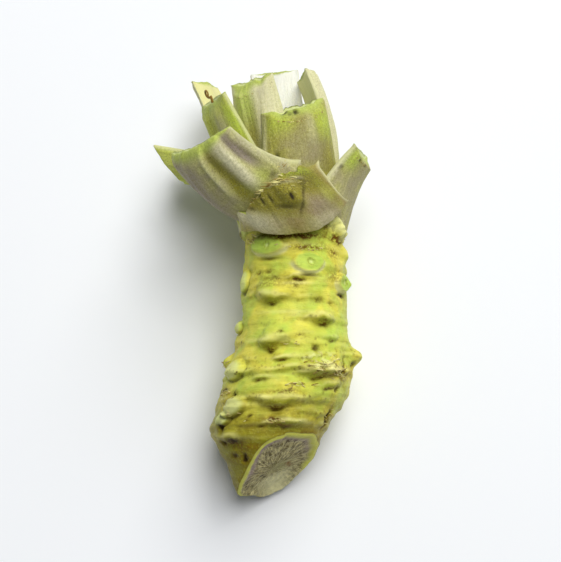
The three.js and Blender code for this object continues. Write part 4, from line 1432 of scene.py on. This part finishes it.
def rhizome_material():
    material, tree, shader = new_material("Rhizome", roughness=0.42, shine=0.14)
    grain = grain_of(tree)
    patches = effect(tree, blotches, grain, 0.4)
    specks = effect(tree, speckles, grain, 1.5)
    wrinkles = effect(tree, streaks, grain, 0.7, ROUND)
    tint = skin_tint(tree, grain, patches, specks, wrinkles)
    tint = layered(tree, tint, [("face", 1, flesh_tint(tree, grain, patches))])
    tree.links.new(tint, shader.inputs["Base Color"])
    rough = maths(tree, "ADD", scaled(tree, specks, 0.3), scaled(tree, wrinkles, 0.5))
    bump(tree, shader, rough, SKIN_BUMP)
    return material


rhizome.data.materials.append(rhizome_material())
print("nodes in the rhizome's material:", len(rhizome.data.materials[0].node_tree.nodes))

# %% [markdown]
# ## The fibres
# Dried fibres are cream to tan, each in its own shade.

# %% Fibre material
def fibre_material():
    material, tree, shader = new_material("Fibres", roughness=0.6)
    tint = blend(tree, mask(tree, "brown"), "EDE594", "8E6C22")
    tree.links.new(tint, shader.inputs["Base Color"])
    return material


fibre_piece.data.materials.append(fibre_material())
curl_piece.data.materials.append(fibre_piece.data.materials[0])
print("pieces of dried fibre:", fibre_piece.name, curl_piece.name)

# %% [markdown]
# ## The stalks' skin
# Outside, a stalk is pale with fine long streaks, a blush of mauve or tan, and a dark stipple that
# spares its palest places. The stipple is thickest on the olive places, between yellow crumbs.

# %% The stalks' skin
STALK_BUMP = 0.00012


def outer_tint(tree, grain, lines, specks, light, deep, blush, blush_share):
    broad = effect(tree, blotches, grain, 0.2)
    stipple = effect(tree, speckles, grain, 2.8)
    crumbs = scaled(tree, effect(tree, speckles, grain, 1.9), 0.6)
    spared = maths(tree, "ADD", scaled(tree, mask(tree, "pale"), -0.7), 0.85)
    return layered(tree, light, [
        (lines, 0.5, deep), (broad, blush_share, blush), ("mauve", 0.75, "A6968E"),
        ("olive", 0.8, "948C28"), ("green", 0.8, "CAE04A"),
        (both(tree, stipple, mask(tree, "olive")), 1, "4A3E10"),
        (both(tree, crumbs, mask(tree, "olive")), 1, "C6C04A"),
        ("pale", 0.75, "EFE9C0"), (specks, 0.3, "E8E8B4"),
        (both(tree, stipple, spared), 1, "564A28"),
    ])


print("bump of a stalk in mm:", STALK_BUMP / MM)

# %% [markdown]
# ## The stalks' materials
# All stalks share one recipe with their own colours. The margins are paler, the hollow side is
# yellow-green or cream, and the cut end is green at its rim and paler inside.

# %% Stalk material
def stalk_material(name, light, deep, blush, blush_share, inside="D3D774", lined=0.3):
    material, tree, shader = new_material(name, roughness=0.5, shine=0.3)
    grain = grain_of(tree)
    lines = effect(tree, streaks, grain, 1.1, ALONG)
    hair = effect(tree, streaks, grain, 4.0, ALONG)
    specks = effect(tree, speckles, grain, 1.8)
    mottle = between(tree, noise(tree, grain, 1.5, 5, 0.8), 0.42, 0.62)
    tint = outer_tint(tree, grain, lines, specks, light, deep, blush, blush_share)
    margin = between(tree, maths(tree, "ABSOLUTE", mask(tree, "across")), 0.93, 1.0)
    hollow = layered(tree, inside, [(lines, lined, deep), (hair, 0.4 * lined, "8E8A40")])
    cut = layered(tree, "C0CC60", [(mottle, 0.6, "8F9A3C"), ("cap", 0.7, "DDE3A0")])
    tint = layered(tree, tint, [
        (mottle, 0.42, deep), (hair, 0.2, deep), (margin, 0.6, "E8E6B0"),
        ("hollow", 1, hollow), ("cut", 1, cut), ("dark", 0.85, "33290E"),
    ])
    tree.links.new(tint, shader.inputs["Base Color"])
    rough = maths(tree, "ADD", scaled(tree, specks, 0.4), scaled(tree, hair, 0.5))
    bump(tree, shader, maths(tree, "ADD", rough, scaled(tree, mottle, 0.3)), STALK_BUMP)
    return material


plain = stalk_material("Stalk, grey green", "DCD88A", "86823A", "AC9A8E", 0.5)
green = stalk_material("Stalk, green", "E2EA6E", "A4AC40", "C2B86C", 0.3)
creamy = stalk_material("Stalk, cream", "F4F0C4", "C8C47C", "DACEA0", 0.3, "FAFBB8", 0.2)
heart = stalk_material("Stalk, white heart", "FBF8E6", "DEDAAE", "EEE8CC", 0.25, "FFFEF4", 0.12)
faded = stalk_material("Stalk, faded", "F2EEC2", "C8C47C", "DACEA0", 0.3, "E9E49E", 0.2)
middle = stalk_material("Stalk, olive green", "CAC55C", "787426", "9C8C66", 0.4)
sheath = stalk_material("Sheath", "C8BE64", "84782C", "A8845C", 0.5)
TISSUES = {
    "front_left_stalk": plain, "centre_stalk": middle, "left_stalk": green,
    "upper_left_stalk": green, "inner_left_stalk": creamy, "back_stalk": heart,
    "inner_right_stalk": creamy, "far_left_stalk": faded, "far_right_stalk": creamy,
    "right_stalk": plain, "under_left_stalk": plain, "under_right_stalk": plain,
    "heart_stalk_left": green, "heart_stalk_right": green, "front_sheath": sheath,
}
for name, piece in stalk_pieces.items():
    piece.data.materials.append(TISSUES[name])
print("tissues of the stalks:", len(set(TISSUES.values())))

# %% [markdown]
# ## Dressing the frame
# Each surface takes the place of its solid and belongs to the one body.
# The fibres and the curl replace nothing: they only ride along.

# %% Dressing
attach(curl_piece, "root")
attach(fibre_piece, "root")
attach(rhizome, "root")
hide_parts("rhizome")
for name, piece in stalk_pieces.items():
    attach(piece, "root")
    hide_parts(name)
print("solids replaced:", len(stalk_pieces) + 1, "of", len(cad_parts))

# %% [markdown]
# ## The table
# The plant lies on a plain, nearly white table, wide enough to fill the view. It is the stage: it
# takes the shadow and isn't part of the plant.

# %% The table
TABLE_SIZE = 4.0
TABLE_COLOUR = (0.905, 0.915, 0.925, 1)
half = TABLE_SIZE / 2
corners = [(-half, -half, 0), (half, -half, 0), (half, half, 0), (-half, half, 0)]
floor_mesh = bpy.data.meshes.new("table")
floor_mesh.from_pydata(corners, [], [(0, 1, 2, 3)])
floor = into_scene("table", floor_mesh)
paper = bpy.data.materials.new("Table")
paper.use_nodes = True
paper_shader = paper.node_tree.nodes["Principled BSDF"]
paper_shader.inputs["Base Color"].default_value = TABLE_COLOUR
paper_shader.inputs["Roughness"].default_value = 0.9
paper_shader.inputs["Specular IOR Level"].default_value = 0.0
floor.data.materials.append(paper)
floor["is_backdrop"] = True
print("table in m:", TABLE_SIZE)

# %% [markdown]
# ## The light
# Two broad round lamps behind the plant, one high and one low, throw its soft shadow towards the
# front left. The room adds a faint cool light, but a view or a reflection sees it nearly white.

# %% Room and lamps
ROOM_COLOUR = (0.93, 1.0, 1.10, 1)
ROOM_LIGHT = 0.16
ROOM_SEEN = 0.8         # how much stronger the room is for a ray that sees it
LAMP_DISTANCE = 1.5
LAMP_SIZE = 1.0
LAMPS = {
    # name: degrees above the table, degrees right of straight behind, watts
    "high_window": (75, 40, 15.0),
    "low_window": (45, 25, 10.5),
}

world = bpy.data.worlds.new("Room")
bpy.context.scene.world = world
world.use_nodes = True
room = world.node_tree
back = room.nodes["Background"]
rays = add(room, "ShaderNodeLightPath").outputs
mirrored = maths(room, "ADD", rays["Is Glossy Ray"], rays["Is Transmission Ray"])
seen = maths(room, "ADD", rays["Is Camera Ray"], mirrored, clamp=True)
feed(room, back.inputs["Strength"], maths(room, "ADD", scaled(room, seen, ROOM_SEEN), ROOM_LIGHT))
back.inputs["Color"].default_value = ROOM_COLOUR

for name, (above, aside, watts) in LAMPS.items():
    above, aside = math.radians(above), math.radians(aside)
    lamp = bpy.data.lights.new(name, "AREA")
    lamp.shape = "DISK"
    lamp.size = LAMP_SIZE
    lamp.energy = watts
    lamp_piece = into_scene(name, lamp)
    level = math.cos(above)
    towards = Vector((math.sin(aside) * level, math.cos(aside) * level, math.sin(above)))
    lamp_piece.location = towards * LAMP_DISTANCE
    lamp_piece.rotation_euler = towards.to_track_quat("Z", "Y").to_euler()
print("lamps in watts:", [row[2] for row in LAMPS.values()])

# %% [markdown]
# ## The camera
# The camera looks down steeply from the front, at the stem just below the crown.

# %% The camera
ELEVATION = math.radians(74)
DISTANCE = 0.393
LENS, SENSOR = 90.22, 36
LOOKED_AT = (0.81, 59.12, 0.95)     # in mm from the growth frame's place on the table
looked_at = Vector((place + np.array(LOOKED_AT)) * MM)
towards_camera = Vector((0, -math.cos(ELEVATION), math.sin(ELEVATION)))
camera = bpy.data.cameras.new("camera")
camera.lens = LENS
camera.sensor_width = SENSOR
camera_piece = into_scene("camera", camera)
camera_piece.location = looked_at + towards_camera * DISTANCE
camera_piece.rotation_euler = towards_camera.to_track_quat("Z", "Y").to_euler()
bpy.context.scene.camera = camera_piece
bpy.context.scene.view_settings.view_transform = "Standard"
print("camera at:", [round(v, 3) for v in camera_piece.location])

# %% [markdown]
# ## The sizes, and the end
# The box of the dressed plant is kept beside the solids' own, so that the two can be compared.

# %% Sizes and the end
dressed_box = [list(corner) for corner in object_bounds()]
for solid, dressed in zip(cad_box, dressed_box):
    print("corner in mm:", [round(v / MM, 1) for v in solid], [round(v / MM, 1) for v in dressed])
